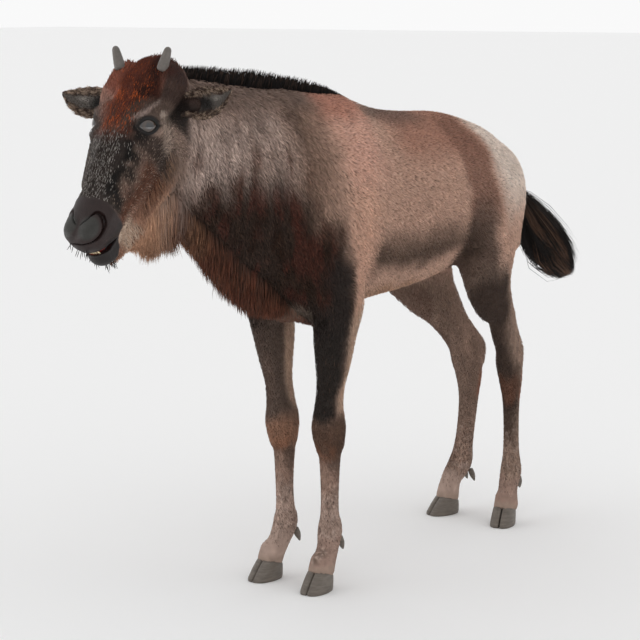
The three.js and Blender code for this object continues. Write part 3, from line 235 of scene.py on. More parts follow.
def leg(side, x, y, stifle, ham):
    """One leg as a limb, with the heel cord as a second limb behind a hind leg's hock."""
    out = abs(x)
    spread = out - 76
    if ham is None:
        made = limb([
            [58, -190, 872, 26, 46], [88, -256, 790, 32, 70], [92, -308, 690, 34, 62], [92, -294, 612, 36, 66],
            [87, -278, 556, 37, 66], [76, -277, 500, 35, 57], [70, -276, 440, 30, 44], [64, -276, 394, 26, 33],
            [59, -275, 352, 26.5, 34], [57, -273, 314, 32, 38], [57, -270, 282, 27.5, 34], [56, -268, 254, 20, 26],
            [56, -268, 190, 17, 21], [55, -267, 140, 17.5, 21.5], [55, -266, 108, 23, 27],
            [(out + 55) / 2, (y - 258) / 2 + 7, 74, 21, 23], [out, y + 15, 44, 24, 24],
        ])
    else:
        made = blend(14, limb([
            [62, 190, 800, 30, 56], [80, 250, 724, 54, 104], [88, 247 + stifle / 2, 650, 54, 109],
            [92, 236 + stifle, 580, 50, 104], [86, 262 + stifle, 520, 40, 76],
            [74 + spread / 2, ham[0], 472, 31, ham[1]], [63 + spread, 331, 424, 27, 41],
            [56 + spread, 360, 384, 27, 40], [53 + spread, 370, 350, 29, 39], [52 + spread, 379, 310, 26, 33],
            [53 + spread, 381, 262, 19, 26], [56 + spread, 378, 205, 17, 23], [60 + spread, 373, 150, 18, 23.5],
            [64 + spread, 367, 110, 23, 28], [out - 4, (y + 366) / 2, 76, 21, 24], [out, y + 15, 44, 24, 24],
        ], TOE_OUT), limb([
            [70 + spread, 336, 462, 12, 20], [58 + spread, 380, 414, 10, 14], [48 + spread, 415, 372, 13, 15],
            [48 + spread, 412, 336, 14, 15],
        ], TOE_OUT))
    return lambda p: made(p * [side, 1, 1])


def toe_ahead(name):
    """The level direction in which a foot points."""
    side = FEET[name][0]
    return np.array([side * TOE_OUT[1], -TOE_OUT[0], 0] if name.startswith("hind") else [side * 0.08, -0.997, 0])


def coronet(name):
    """The skin's soft roll round the top of a foot's claws."""
    ahead = toe_ahead(name)
    foot = np.array([*FEET[name][1:3], 0])
    return limb([[*(foot + v * ahead + [0, 0, z]), w, d] for v, z, w, d in ((-9, 38, 24.5, 25.5), (-12, 54, 22.5, 22))],
                np.cross(ahead, [0, 0, 1]), 1)


whole = blend(30, trunk_and_neck, *[leg(*foot) for foot in FEET.values()], head, limb(DOCK))
flesh = blend(12, blend(6, whole, *[coronet(name) for name in FEET]), both(horn_boss))
CORONET_Z, CORONET_FALL = 37, 0.28  # the hooves' upper edge, where the skin ends, and its fall toward the toe


def below_coronet(p, sink=3.0):
    """How far a point lies under the nearest foot's coronet, a plane that falls toward the toe."""
    out = np.full(len(p), -1e3)
    for name, (side, x, y, *_) in FEET.items():
        near = (np.abs(p[:, 0] - x) < 60) & (np.abs(p[:, 1] - y) < 90) & (p[:, 2] < 100)
        normal = unit(np.array([0, 0, 1.0]) - CORONET_FALL * toe_ahead(name))
        out[near] = -(p[near] - [x, y, CORONET_Z - sink]) @ normal
    return out


BARE_EDGE = ([-110, -92, -71, -39, -21, -5, 4], [300, 288, 277, 269, 260, 254, 257])  # n, and the s where hair ends


def bare_muzzle(p):
    """One on the bare skin of the muzzle, nought on the coat."""
    _, s, n = head_frame(p)
    return smooth(-3, 3, s - np.interp(n, *BARE_EDGE)) * (p[:, 1] < -820)


def coat_depth(p):
    """How deep the coat is in millimetres: thick on the neck and ribs, thin on face and shanks, none on the nose."""
    depth = np.interp(p[:, 2], [60, 130, 260, 340, 470, 560], [0.8, 1.4, 2.2, 3.0, 4.0, 5.5])
    face = np.interp(head_frame(p)[1], [-40, 40, 120, 250, 275], [4.5, 3.5, 2.5, 1.8, 0.8])
    return (depth + (face - depth) * smooth(-640, -720, p[:, 1])) * (1 - bare_muzzle(p))


def skin_field(p):
    """The flesh drawn in by the coat's depth, and ended at the coronets."""
    return np.maximum(flesh(p) + coat_depth(p), below_coronet(p))


OCTANT = np.array([[i, j, k] for i in (0, 1) for j in (0, 1) for k in (0, 1)])
CUBE_EDGES = np.array([(a, b) for a in range(8) for b in range(a + 1, 8)
                       if np.abs(OCTANT[a] - OCTANT[b]).sum() == 1])


def key(cells):
    """One whole number for each row of three."""
    return (cells[:, 0] * 4096 + cells[:, 1]) * 4096 + cells[:, 2]


def surface(field, low, high, size, halvings=3):
    """Points and four-cornered faces of a field's surface. Big cubes that it may pass through are halved again
    and again. Each smallest cube that it does pass has one point, the mean of the crossings on its edges, and
    each crossed edge has one face, between the four cubes round it."""
    counts = np.ceil((np.asarray(high) - low) / (size * 2 ** halvings)).astype(int)
    cells = np.stack(np.meshgrid(*map(np.arange, counts), indexing="ij"), -1).reshape(-1, 3)
    for level in range(halvings, -1, -1):
        edge = size * 2 ** level
        cells = cells[np.abs(field(low + (cells + 0.5) * edge)) < 1.3 * edge]
        if level:
            cells = (2 * cells[:, None] + OCTANT).reshape(-1, 3)
    corners = (cells[:, None] + OCTANT).reshape(-1, 3)
    _, first, back_to = np.unique(key(corners), return_index=True, return_inverse=True)
    value = field(low + corners[first] * size)[back_to].reshape(-1, 8)
    passed = (value < 0).any(1) & (value >= 0).any(1)
    cells, value = cells[passed], value[passed]
    order = np.argsort(key(cells))
    cells, value = cells[order], value[order]
    va, vb = value[:, CUBE_EDGES[:, 0]], value[:, CUBE_EDGES[:, 1]]
    cut = (va < 0) != (vb < 0)
    t = np.where(cut, va / np.where(cut, va - vb, 1), 0)[..., None]
    a, b = OCTANT[CUBE_EDGES[:, 0]], OCTANT[CUBE_EDGES[:, 1]]
    inside = ((a + t * (b - a)) * cut[..., None]).sum(1) / cut.sum(1)[:, None]
    keys, step, faces = key(cells), np.eye(3, dtype=int), []
    for axis in range(3):
        one, two = step[(axis + 1) % 3], step[(axis + 2) % 3]
        near, far = value[:, 0] < 0, value[:, OCTANT.tolist().index(step[axis].tolist())] < 0
        base = cells[near != far]
        ring = np.stack([np.searchsorted(keys, key(base - shift)) for shift in (one + two, two, 0 * one, one)], 1)
        inward = far[near != far]
        ring[inward] = ring[inward][:, ::-1]
        faces.append(ring)
    return low + (cells + inside) * size, np.vstack(faces)


def slope(field, p, h=0.6):
    """The field's gradient, from its values at the four corners of a small tetrahedron round each point."""
    corners = np.array([[1, 1, 1], [1, -1, -1], [-1, 1, -1], [-1, -1, 1]])
    return sum(c * field(p + h * c)[:, None] for c in corners) / (4 * h)


def settle(field, p, most):
    """Points moved twice along the gradient on to the field's surface, at most so far each time."""
    for _ in range(2):
        g = slope(field, p)
        steep = np.maximum((g * g).sum(1), 1e-6)
        step = np.clip(field(p) / np.sqrt(steep), -most, most) / np.sqrt(steep)
        p = p - g * step[:, None]
    return p


def make_mesh(name, points, faces):
    """A smooth-shaded mesh object from points in millimetres and faces of as many corners each."""
    mesh = bpy.data.meshes.new(name)
    mesh.vertices.add(len(points))
    mesh.vertices.foreach_set("co", metres(points).astype(np.float32).ravel())
    mesh.loops.add(faces.size)
    mesh.loops.foreach_set("vertex_index", faces.astype(np.int32).ravel())
    mesh.polygons.add(len(faces))
    mesh.polygons.foreach_set("loop_start", np.arange(0, faces.size, faces.shape[1], dtype=np.int32))
    mesh.polygons.foreach_set("use_smooth", np.ones(len(faces), bool))
    mesh.update(calc_edges=True)
    made = bpy.data.objects.new(name, mesh)
    bpy.context.scene.collection.objects.link(made)
    return made


def coordinates(mesh):
    """A mesh's points in the drawing's millimetres."""
    flat = np.empty(3 * len(mesh.vertices), np.float32)
    mesh.vertices.foreach_get("co", flat)
    return flat.reshape(-1, 3).astype(float) * 1000 - SHIFT


# Skin: one hide over the whole animal, as fine as the form under it needs. It is coarse on the ribs, and cut finer
# over the head, then over muzzle and eyes, then round the lids, the lips and the nostrils.
GAZE = unit([0.8, -0.58, 0.12])
LID_ALONG = unit(np.cross(GAZE, [0, 0, 1]))
LID_UP = np.cross(LID_ALONG, GAZE)
LID_HALF, UPPER_LID, LOWER_LID = 18.0, 13.6, 14.0
OUTSIDE = -60  # stands for far outside the lids or the lips


def in_lids(p):
    """How far inside the lids' opening a point is, in millimetres, and its distance from the eye's middle. The
    opening is two parabolas, one over the other, seen along the gaze."""
    q = mirrored(p) - EYE
    a, b, ahead = q @ LID_ALONG, q @ LID_UP, q @ GAZE
    tall = np.where(b > 0, UPPER_LID, LOWER_LID)
    share = np.clip(1 - (a / LID_HALF) ** 2, -1.5, 1)
    edge = (tall * share - np.abs(b)) / np.sqrt(1 + (2 * tall * a / LID_HALF**2) ** 2)
    return np.where(ahead > 0, edge, OUTSIDE), np.linalg.norm(q, axis=1)


# The gap between the lips: its run down the face, and its middle's n and half its height there
LIPS_S, LIPS_N, LIPS_HALF = [299, 318, 352], [-70.5, -63.5, -42.5], [1.6, 5.2, 6.2]


def in_mouth(p):
    """How far a point is inside the gap between the lips, in millimetres."""
    _, s, n = head_frame(p)
    gap = np.interp(s, LIPS_S, LIPS_HALF) - np.abs(n - np.interp(s, LIPS_S, LIPS_N))
    return np.where((s > 296) & (n < 0), gap, OUTSIDE)


# The groove round each half of the nose pad, widest where the nostril opens: x, s, n, half width
NOSTRIL = curve([
    [6, 305, -2, 1.0], [15, 296, -3, 1.2], [21, 286, -4, 1.6], [27, 279, -7, 2.4], [36, 281, -12, 3.6],
    [43, 293, -18, 4.2], [44, 303, -21, 3.6], [41, 311, -23, 3.0], [34, 321, -22, 2.4], [16, 334, -19, 1.8],
    [0, 337, -17, 1.6],
], 6)


def in_nostril(p):
    """How deep a point lies in the nostrils' grooves: one along the middle of a groove, nought at its edges."""
    out = np.zeros(len(p))
    near = p[:, 1] < -840
    q = mirrored(np.column_stack(head_frame(p[near])))
    away = np.linalg.norm(q[:, None] - NOSTRIL[None, :, :3], axis=2) / NOSTRIL[None, :, 3]
    out[near] = 1 - smooth(0.3, 1.5, away.min(1))
    return out


def head_part(p):
    return p[:, 1] < -655


def fine_part(p):
    return head_part(p) & ((head_frame(p)[1] > 238) | (in_lids(p)[1] < 40))


def finest_part(p):
    opening, from_eye = in_lids(p)
    return head_part(p) & ((opening > -5) & (from_eye < 40) | (in_mouth(p) > -4) | (in_nostril(p) > 0))


SKIN_SIZE = 6.6
points, faces = surface(skin_field, np.array([-215.0, -970, 0]), [215, 600, 1075], SKIN_SIZE)
skin = make_mesh("skin", settle(skin_field, points, 0.5 * SKIN_SIZE), faces)
for part, most in ((head_part, 3.0), (fine_part, 1.5), (finest_part, 0.8)):
    p = coordinates(skin.data)
    chosen, old = part(p), len(p)
    work = bmesh.new()
    work.from_mesh(skin.data)
    work.verts.ensure_lookup_table()
    cut = [f for f in work.faces if all(chosen[v.index] for v in f.verts)]
    bmesh.ops.subdivide_edges(work, edges=list({e for f in cut for e in f.edges}), cuts=1, use_grid_fill=True)
    bmesh.ops.triangulate(work, faces=[f for f in work.faces if len(f.verts) > 4])
    work.to_mesh(skin.data)
    work.free()
    p = coordinates(skin.data)
    p[old:] = settle(skin_field, p[old:], most)
    skin.data.vertices.foreach_set("co", metres(p).astype(np.float32).ravel())
    skin.data.update()


# Lids, lips and nostrils: the skin lies close over the eye, turns in at the lids' edges and goes under the ball,
# which hides where it ends. The lips part over a dark mouth, and a groove runs round each half of the nose pad.
def mound(place, middle, spread):
    """One at the middle and less away from it: e to minus the sum of the squared offsets in shares of the spread."""
    return np.exp(-sum(((v - m) / w) ** 2 for v, m, w in zip(place, middle, spread)))


p = coordinates(skin.data)
outward = unit(slope(skin_field, p))
opening, from_eye = in_lids(p)
side = np.sign(p[:, :1]) * [1, 0, 0] + [0, 1, 1]
LID_RADIUS = EYE_RADIUS + 2.4
radius = from_eye + (LID_RADIUS - from_eye) * (smooth(-9, -1, opening) * (from_eye < 45))
radius += 0.8 * mound([opening], [-1.4], [1.2]) * (from_eye < 45)
radius -= 0.6 * mound([opening], [-5.0], [1.6]) * (from_eye < 45)
radius -= 6.5 * smooth(-0.5, 0.9, opening)
p = EYE * side + (p - EYE * side) * (radius / np.maximum(from_eye, 1))[:, None]
lips = in_mouth(p)
push = -10 * smooth(-0.6, 1.0, lips) + 1.0 * mound([lips], [-2.2], [1.6]) - 9 * in_nostril(p) * (lips < -4)
x, s, n = head_frame(p)
push += 3.0 * mound((np.abs(x), s, n), (26, 305, -8), (17, 22, 14)) - 2.5 * mound((x, s, n), (0, 318, -4), (9, 20, 14))
p += outward * push[:, None]
skin.data.vertices.foreach_set("co", metres(p).astype(np.float32).ravel())
skin.data.update()


# Markings. Skin and coat are tinted by the same rules. The coat is taupe, with a rusty ridge over the shoulder, a
# dark chest, dark flank and thigh, a pale rump and pasterns, a rusty forehead and a charcoal bridge above a bare nose.
# Some tints are painted light and shade: the dark bands on flank and thigh are partly painted shade, and the pale rump
# and shoulder are partly painted highlight. Legs, forehead and bridge are painted darker on the near side and lighter
# on the far side. Painted streaks of shade run down the shanks, painted shade blackens the nostrils and darkens the
# ears' cups, and painted sheen greys the nose pad's lobes.
def linear(code):
    """An sRGB colour such as 8a4a30 as linear red, green and blue."""
    c = np.array([int(code[i:i + 2], 16) / 255 for i in (0, 2, 4)])
    return np.where(c < 0.04045, c / 12.92, ((c + 0.055) / 1.055) ** 2.4)


def noise(p, size, seed=0):
    """Values from -1 to 1 that change smoothly over a given size: random ones on a cubic lattice, eased between."""
    q = p / size
    base = np.floor(q).astype(np.int64)
    t = smooth(0, 1, q - base)
    total = np.zeros(len(p))
    for corner in OCTANT:
        i, j, k = (base + corner).T
        mixed = (i * 73856093) ^ (j * 19349663) ^ (k * 83492791) ^ ((seed + 1) * 2654435761)
        mixed = (mixed ^ (mixed >> 13)) * 1274126177 & 0xFFFFFFFF
        value = ((mixed ^ (mixed >> 16)) & 0xFFFFFF) / 0x7FFFFF - 1
        total += value * np.prod(np.where(corner, t, 1 - t), axis=1)
    return total


def within(v, low, high, soft):
    """One between low and high, nought beyond, changing over soft to either side of each."""
    return smooth(low - soft, low + soft, v) * (1 - smooth(high - soft, high + soft, v))


def stain(colours, code, amount):
    """Colours drawn toward one colour by an amount from nought to one."""
    return colours + (linear(code) - colours) * np.clip(amount, 0, 1)[:, None]


def markings(p):
    """The tint at each point of skin or coat: stains laid one over another, each by the place's share in it. Most
    are markings; some are painted light and shade.
    """
    c, at = np.tile(linear("c09c89"), (len(p), 1)), {}

    def lay(code, amount, **limits):
        """A limit is a span over which the stain comes in, or its two ends and how softly it stops at each."""
        for name, limit in limits.items():
            amount = amount * (within(at[name], *limit) if len(limit) == 3 else smooth(*limit, at[name]))
        c[:] = stain(c, code, amount)

    ragged = p + 12 * np.column_stack([noise(p, 34, seed) for seed in (1, 2, 3)])
    x, y, z = np.abs(ragged[:, 0]), ragged[:, 1], ragged[:, 2]
    at.update(x=x, y=y, z=z)
    # near is one on the near side and 0.35 on the far side, so that the near legs' dark fronts are painted darker as
    # shade. right is the far side and left the near side; the far legs' lighter tints are painted light.
    near = 0.35 + 0.65 * (p[:, 0] > 0)
    right = smooth(10, -20, p[:, 0])
    left = 1 - right
    broad = 0.5 + 0.6 * noise(p, 120, 4)
    lay("cfab97", broad)
    # Trunk: a brown saddle, grey loin, a pale rump and a pale shoulder, both partly painted highlight, dark bands on
    # thigh and flank, partly markings and partly painted shade, a pale belly and a rusty ridge on the shoulder
    lay("ad7c68", 0.75, y=(-90, 190, 50), z=(770, 860))
    lay("6a5b54", 0.8 * smooth(100, 20, y), z=(866, 912), y=(-220, -100))
    # Pale rump: its own pale colour, made paler still by a painted highlight of light from behind
    lay("e9dace", 0.9, y=(190, 240), z=(640, 760))
    # Thigh bands, a reddish-brown one and a dark stripe under it: partly markings and partly painted shade
    lay("8d6656", 0.8, y=(121.6 - 0.04 * z, 240 - 0.06 * z, 14), z=(690, 890, 40))
    lay("483932", 0.85, y=(100, 248 - 0.1 * z, 20), z=(500, 720, 60))
    # Flank band, dark along the lower flank: partly markings and partly painted shade
    flank = smooth(584, 640, z + 22 * noise(p, 70, 19)) * smooth(716, 630, z) * within(y, -206, 140, 28)
    lay("37291f", (0.92 + 0.2 * noise(p, 60, 18)) * flank)
    lay("ab8468", 0.8 * smooth(480, 520, z), z=(590, 548), y=(-220, 130, 20), x=(100, 70))
    lay("d4aa94", 0.8, y=(-290, -205, 24), z=(420, 520))
    # Pale shoulder: its own pale tan, made paler still by a painted highlight
    lay("d6aa98", 0.85, y=(-294, -170, 42), z=(740, 840))
    lay("ad7460", 0.7, y=(-320, -150, 40), z=(875, 925))
    # Neck and chest: pale taupe streaked with brown, black-brown below a line that rises toward the throat
    lay("94796a", 0.9, y=(-275, -390))
    lay("846a5b", 0.6, y=(-410, -312, 36), z=(720, 800))
    lay("c4b0a6", broad, y=(-360, -460), z=(960, 900))
    lay("75645c", 0.8, y=(-250, -330), z=(900, 960))
    streaks = smooth(0.0, 0.7, noise(p * [1, 1, 0.3], 16, 6))
    lay("5a473d", 0.5 * streaks, y=(-290, -400))
    rise = np.interp(y, [-640, -450, -400, -330, -290, -262], [800, 822, 790, 715, 625, 480])
    above = z - rise + 30 * noise(p * [1, 1, 0.5], 40, 20)
    chest = smooth(60, -70, above) * smooth(-262, -285, y) * smooth(440, 470, z)
    lay("6f4a3c", 0.7 * smooth(90, 0, above) * streaks, y=(-270, -300), z=(440, 470))
    lay("27180f", 0.96 * chest)
    lay("66342a", 0.35 * chest * smooth(-0.1, 0.6, noise(p * [1, 1, 0.25], 13, 7)), y=(-320, -360))
    lay("3b261e", 0.8 * chest * smooth(-240, -300, z - rise))
    lay("ab9788", 0.75 * (x < 60), z=(570, 545), y=(-400, -230, 20))
    # Legs: dark down the front of forearm and thigh, brown knees and hocks, pale speckled cannons and pasterns. On the
    # near legs the dark fronts and the knee are painted darker as shade; on the far legs the knee, the hind leg and the
    # pasterns are painted lighter as light. Painted streaks of shade run down the shanks.
    fore = smooth(-120, -150, y) * smooth(600, 500, z)
    speckle = smooth(230, 150, z) * smooth(0.15, 0.6, noise(p * [1, 1, 0.6], 5, 8))
    lay("6f5c52", 0.9 * fore, z=(560, 520))
    lay("c3a48e", 0.9 * fore, y=(-290, -268), z=(320, 350))
    # Dark front and outer side of the forearm: a marking, painted darker on the near leg as shade
    lay("27221f", near * 0.95 * fore, y=(-278, -296), z=(330, 640, 16))
    lay("2e2623", near * 0.85, y=(-345, -284, 16), z=(500, 660, 30), x=(56, 86))
    # Knees: the near one painted dark brown as shade, the far one pale rust as light
    lay("5f4638", left * 0.85 * fore, z=(258, 330, 18))
    lay("a47a62", right * 0.8 * fore, z=(258, 322, 18))
    lay("8c5b42", 0.45 * fore * smooth(-0.3, 0.5, noise(p, 16, 21)), z=(240, 290, 20), y=(-268, -285))
    lay("a98b7b", 0.9 * fore, z=(262, 232))
    lay("5a463c", 0.55 * fore * smooth(8, 17, np.abs(x - 56)), z=(265, 245))
    lay("c9aea0", 0.8 * fore, z=(215, 150))
    lay("5b463b", 0.5 * fore * speckle)
    hind = smooth(120, 150, y) * smooth(570, 500, z - 40 * smooth(90, 120, x))
    lay("9c8475", 0.9 * hind)
    # The far hind legs painted lighter as light
    lay("a88c7c", right * 0.9 * hind)
    shin = np.interp(z, [100, 200, 250, 330, 400, 450, 500, 570], [330, 374, 388, 366, 322, 304, 284, 236])
    # Dark front of the hind shin: a marking, painted darker on the near leg as shade
    lay("32251f", near * 0.9 * hind * smooth(24, -24, y - shin), z=(130, 190))
    lay("8a5a44", left * 0.4 * hind * smooth(0.0, 0.6, noise(p * [1, 1, 0.25], 18, 14)), z=(236, 330, 16))
    lay("6d5448", right * 0.6 * hind, x=(59, 70))
    lay("a4644c", 0.7 * hind, y=(376, 392), z=(262, 326, 12))
    lay("5b463b", 0.5 * hind * speckle)
    lay("c2aca0", 0.5 * smooth(0.2, 0.6, noise(p, 5, 15)), z=(230, 190))
    tongue = mound([x], [66], [13]) * left * (y < -150) * smooth(-290, -300, y)
    foot = smooth(108, 98, z + 22 * noise(p, 22, 9) + 52 * tongue)
    lay("9b8073", 0.92 * foot)
    # The far pasterns painted paler as light
    lay("b79f92", 0.8 * right * foot)
    lay("55402f", 0.4 * smooth(-0.2, 0.3, noise(p, 3, 16)) * (1 - foot), z=(150, 115))
    # Light and dark streaks drawn out down the shanks: painted shade of the tendons
    c *= (1 + 0.16 * smooth(520, 420, z) * noise(p * [1, 1, 0.06], 8, 22))[:, None]
    lay("4f3c32", 0.75 * tongue * smooth(-0.4, 0.2, noise(p, 3, 23)), z=(52, 112, 8))
    lay("a08a7c", 0.8, z=(54, 44))
    # Head: grey-brown, dark behind the horns, pale along the jaw, a charcoal bridge and a rusty forehead. Face,
    # forehead and bridge are painted lighter and pinker on the far side as light, and darker on the near side as shade
    x, s, n = head_frame(ragged)
    right = smooth(10, -30, x)
    left = 1 - right
    x = np.abs(x)
    at.update(x=x, s=s, n=n)
    face = smooth(-655, -700, p[:, 1]) * smooth(640, 650, z)
    lay("8d776b", face)
    # The far side of the face painted pinker and lighter as light
    lay("c08d7c", 0.85 * face * right, s=(175, 150), x=(10, 50), n=(-70, -50))
    lay("927a70", 0.7 * face * right, s=(60, 200, 30), x=(40, 62))
    lay("40302b", 0.9 * face * left, s=(-60, 74, 16), x=(26, 46), n=(-130, -100))
    lay("7b4a3a", 0.5 * face * left, s=(0, 90, 12), x=(30, 60, 8), n=(-50, -30))
    lay("33292a", 0.5 * face, s=(-60, 30, 16), x=(40, 70))
    lay("5e3b2c", 0.95 * face, s=(142, 172), n=(-104, -30, 16))
    lay("9d7764", 0.7 * face, s=(190, 240), n=(-110, -60, 14))
    lay("352b27", 0.9 * face * left, s=(122, 160, 12), n=(-100, -8, 14))
    lay("b48a70", 0.9 * (s < 330), y=(-700, -735), n=(-92, -122), s=(110, 165))
    lay("c9b5a2", 0.7 * face * left, s=(250, 300, 10), n=(-105, -60, 10))
    edge = np.interp(s, [110, 160, 200, 240, 262], [-4, -18, -21, -30, -36]) - 34 * right
    over = n - edge + 7 * noise(p, 12, 17)
    bridge = face * smooth(104, 150, s + 0.5 * x) * smooth(280, 262, s) * smooth(-10, 8, over)
    lay("2e2825", 0.96 * bridge)
    # The bridge painted blacker on the near side as shade and greyer on the far side as light
    lay("110f0e", 0.92 * bridge * left, x=(24, 38), s=(262, 225))
    lay("5b5552", 0.7 * bridge * right, x=(14, 34))
    wide = x + 0.1 * s + 16 * noise(p, 18, 10) - 22 * right * smooth(70, 10, s)
    rust = face * smooth(70, 44, wide) * smooth(160, 100, s) * smooth(-90, -60, n)
    lay("5e2d20", 0.95 * rust)
    # The rusty forehead painted near black on the near side as shade and paler rust on the far side as light
    lay("231410", 0.85 * rust * left, x=(8, 26))
    lay("9c6150", 0.75 * rust * right, x=(14, 40))
    # Round the eye: a dark ring, a pale streak over it and a pale patch behind it, and a black spot before the ear
    gap, away = in_lids(p)
    around = face * (away < 60) * (1 - 0.8 * right)
    q = mirrored(p) - EYE
    inner, up = q @ LID_ALONG, q @ LID_UP
    lay("55453d", 0.85 * around * smooth(56, 42, away) * smooth(-6, 10, up))
    lay("3a2f2a", 0.85 * around * smooth(30, 19, away))
    lay("1b1715", 0.95 * around, s=(98, 146, 10), n=(-26, 0, 6), x=(42, 66, 6))
    lay("a39184", 0.75 * around * within(inner, -44, -23, 6) * within(up, -44, 18, 10))
    lay("a8938a", 0.75 * around * within(up - 26.3 + 0.587 * inner, -3.5, 3.5, 3) * within(inner, -22, 26, 6))
    lay("b5a598", 0.8 * around * smooth(7, 3, np.hypot(inner + 24, up - 17)))
    lay("1e1816", 0.93 * face * left * (x > 44), s=(48, 88, 8), n=(-144, -42, 8))
    corner = within(inner, 14, 27, 4) * within(up, -8, 3, 3) + 0.7 * within(inner, -24, -15, 4) * within(up, -3, 3, 3)
    lay("1b1614", 0.9 * around * corner)
    lay("1d1816", 0.9 * around * smooth(-5, -3, gap) * smooth(3, 7, up))
    lay("12100f", face * smooth(-1.5, -0.4, gap) * (away < 40))
    # Bare muzzle: near black, with painted sheen greying the pad's raised lobes, black painted shade in the nostrils'
    # grooves, and red in the mouth
    x, s, n = head_frame(p)
    x = np.abs(x)
    at.update(x=x, s=s, n=n)
    bare, groove = bare_muzzle(p), smooth(0.25, 0.6, in_nostril(p))
    lay("231614", bare)
    lay("1a1615", 0.8 * bare, n=(-40, -60))
    # The pad's raised lobes painted greyer as sheen
    lay("2f2e2b", 0.95 * bare * smooth(0.25, 0.55, mound((x, s, n), (22, 308, -8), (20, 22, 14))))
    lay("a32a20", smooth(0.8, 2.0, in_mouth(p)))
    # The nostrils' grooves painted black as shade
    lay("050404", groove, x=(10, 30))
    lay("151211", 0.8 * groove, x=(30, 10))
    return np.clip(c * (1 + 0.14 * noise(p, 8, 5) + 0.12 * noise(p, 3, 11))[:, None], 0, 1)


def add_attribute(made, name, kind, values):
    """A value of the given kind for each point of a piece's mesh."""
    layer = made.data.attributes.new(name, kind, "POINT")
    colour = kind == "FLOAT_COLOR"
    if colour:
        values = np.column_stack([values, np.ones(len(values))])
    layer.data.foreach_set("color" if colour else "value", np.asarray(values, np.float32).ravel())


def add_node(material, kind, inputs=None, **settings):
    """Adds a node with its settings, and its inputs as values or as other nodes' outputs."""
    tree = material.node_tree
    made = tree.nodes.new("ShaderNode" + kind)
    for name, value in settings.items():
        setattr(made, name, value)
    for name, value in (inputs or {}).items():
        if isinstance(value, bpy.types.NodeSocket):
            tree.links.new(value, made.inputs[name])
        else:
            made.inputs[name].default_value = value
    return made


def new_material(name):
    """A material without nodes."""
    material = bpy.data.materials.new(name)
    material.use_nodes = True
    material.node_tree.nodes.clear()
    return material


def finish_material(material, inputs):
    """Ends a material with its shader. Where no other colour is given, each point's own tint is the colour."""
    if "Base Color" not in inputs:
        inputs["Base Color"] = add_node(material, "Attribute", attribute_name="tint").outputs["Color"]
    shader = add_node(material, "BsdfPrincipled", inputs)
    add_node(material, "OutputMaterial", {"Surface": shader.outputs["BSDF"]})


# Hide: under the coat it is matt, creased every 2.4 mm and as dark as the hair's roots. On the nose it is bare and
# moist, with pebbles 1.6 mm wide.
hide = new_material("hide_and_bare_nose")
place = add_node(hide, "TexCoord").outputs["Object"]
bare = add_node(hide, "Attribute", attribute_name="bare").outputs["Fac"]
pebbles = add_node(hide, "TexVoronoi", {"Vector": place, "Scale": 620.0}, feature="SMOOTH_F1")
strokes = add_node(hide, "TexNoise", {"Vector": place, "Scale": 420.0, "Detail": 3.0})
relief = add_node(hide, "Mix", {"Factor": bare, "A": strokes.outputs["Fac"], "B": pebbles.outputs["Distance"]})
bump = add_node(hide, "Bump", {"Height": relief.outputs["Result"], "Strength": 0.35, "Distance": 0.0012})
gloss = add_node(hide, "MapRange", {"Value": bare, "To Min": 0.85, "To Max": 0.5})
finish_material(hide, {"Roughness": gloss.outputs["Result"], "Specular IOR Level": 0.3,
                       "Normal": bump.outputs["Normal"]})
skin.data.materials.append(hide)
p = coordinates(skin.data)
add_attribute(skin, "tint", "FLOAT_COLOR", markings(p) * np.where(bare_muzzle(p) > 0.5, 1, 0.88)[:, None])
add_attribute(skin, "bare", "FLOAT", np.maximum(bare_muzzle(p), smooth(-2, 0, in_lids(p)[0])))
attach(skin, "root")
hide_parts("head", "neck", "torso", "tail",
            *[f"{foot}_{part}" for foot in FEET for part in ("upper", "shank", "pastern")])

# Coat. Short hair lies in thin tufts that overlap like tiles, back and down along the body and up the face. Each
# tuft is a closed three-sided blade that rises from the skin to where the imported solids' surface lies. A strand is
# smooth horn, brown to black, that shines a little along its length.
hair = new_material("hair")
finish_material(hair, {"Roughness": 0.75, "Specular IOR Level": 0.15})
FACE_Y, SHOULDER_Y, HIND_Y, LEG_TOP = -665, -330, 20, 545  # where the coat is parted into pieces
TUFT, LONG_TUFT, LOCK = [(0.4, 1)], [(0.3, 1), (0.75, 0.7)], [(0.2, 0.9), (0.5, 1), (0.8, 0.6)]


def lie(p, normal):
    """Which way the hair lies: back and down, steeper on neck, rump and legs, and up the face."""
    flow = np.tile([0.0, 0.82, -0.57], (len(p), 1))
    n = head_frame(p)[2]
    on_face = smooth(-660, -700, p[:, 1])
    for toward, amount in (
        ([0, 0.45, -0.9], smooth(-250, -360, p[:, 1])),
        ([0, 0.3, -0.95], smooth(230, 330, p[:, 1])),
        ([0, 0.1, -1], smooth(600, 520, p[:, 2])),
        ([0, 0.85, -0.5], on_face),
        (-DOWN_FACE + 0.2 * OUT_OF_FACE, on_face * smooth(-75, -45, n)),
    ):
        flow += (np.asarray(toward, float) - flow) * amount[:, None]
    flow += 0.16 * np.column_stack([noise(p, 40, seed) for seed in (11, 12, 13)])
    return unit(flow - normal * (flow * normal).sum(1)[:, None])


def unwrap(p):
    """A place on a map of the hide, as if it were slit along the belly and under each leg: the angle round the
    trunk, head or leg by the way along it, each in a part of the map of its own."""
    def angle(a, b):
        return np.arctan2(a, b) / (2 * math.pi) + 0.5

    x, y, z = p.T
    _, s, n = head_frame(p)
    on_trunk = np.column_stack([angle(x, z - 740), 0.36 + 0.30 * (y + 420) / 820])
    on_face = np.column_stack([angle(x, n + 70), 0.02 + 0.30 * (s + 60) / 420])
    foot, middle = np.where(y < HIND_Y, 0, 2) + (x > 0), np.where(y < HIND_Y, -272, 350)
    on_leg = np.column_stack([(foot + 0.05 + 0.9 * angle(np.abs(x) - 62, y - middle)) / 4, 0.70 + 0.28 * z / 560])
    uv = np.where((y < -640)[:, None], on_face, on_trunk)
    return np.where(((z < LEG_TOP) & (y > -400))[:, None], on_leg, uv)


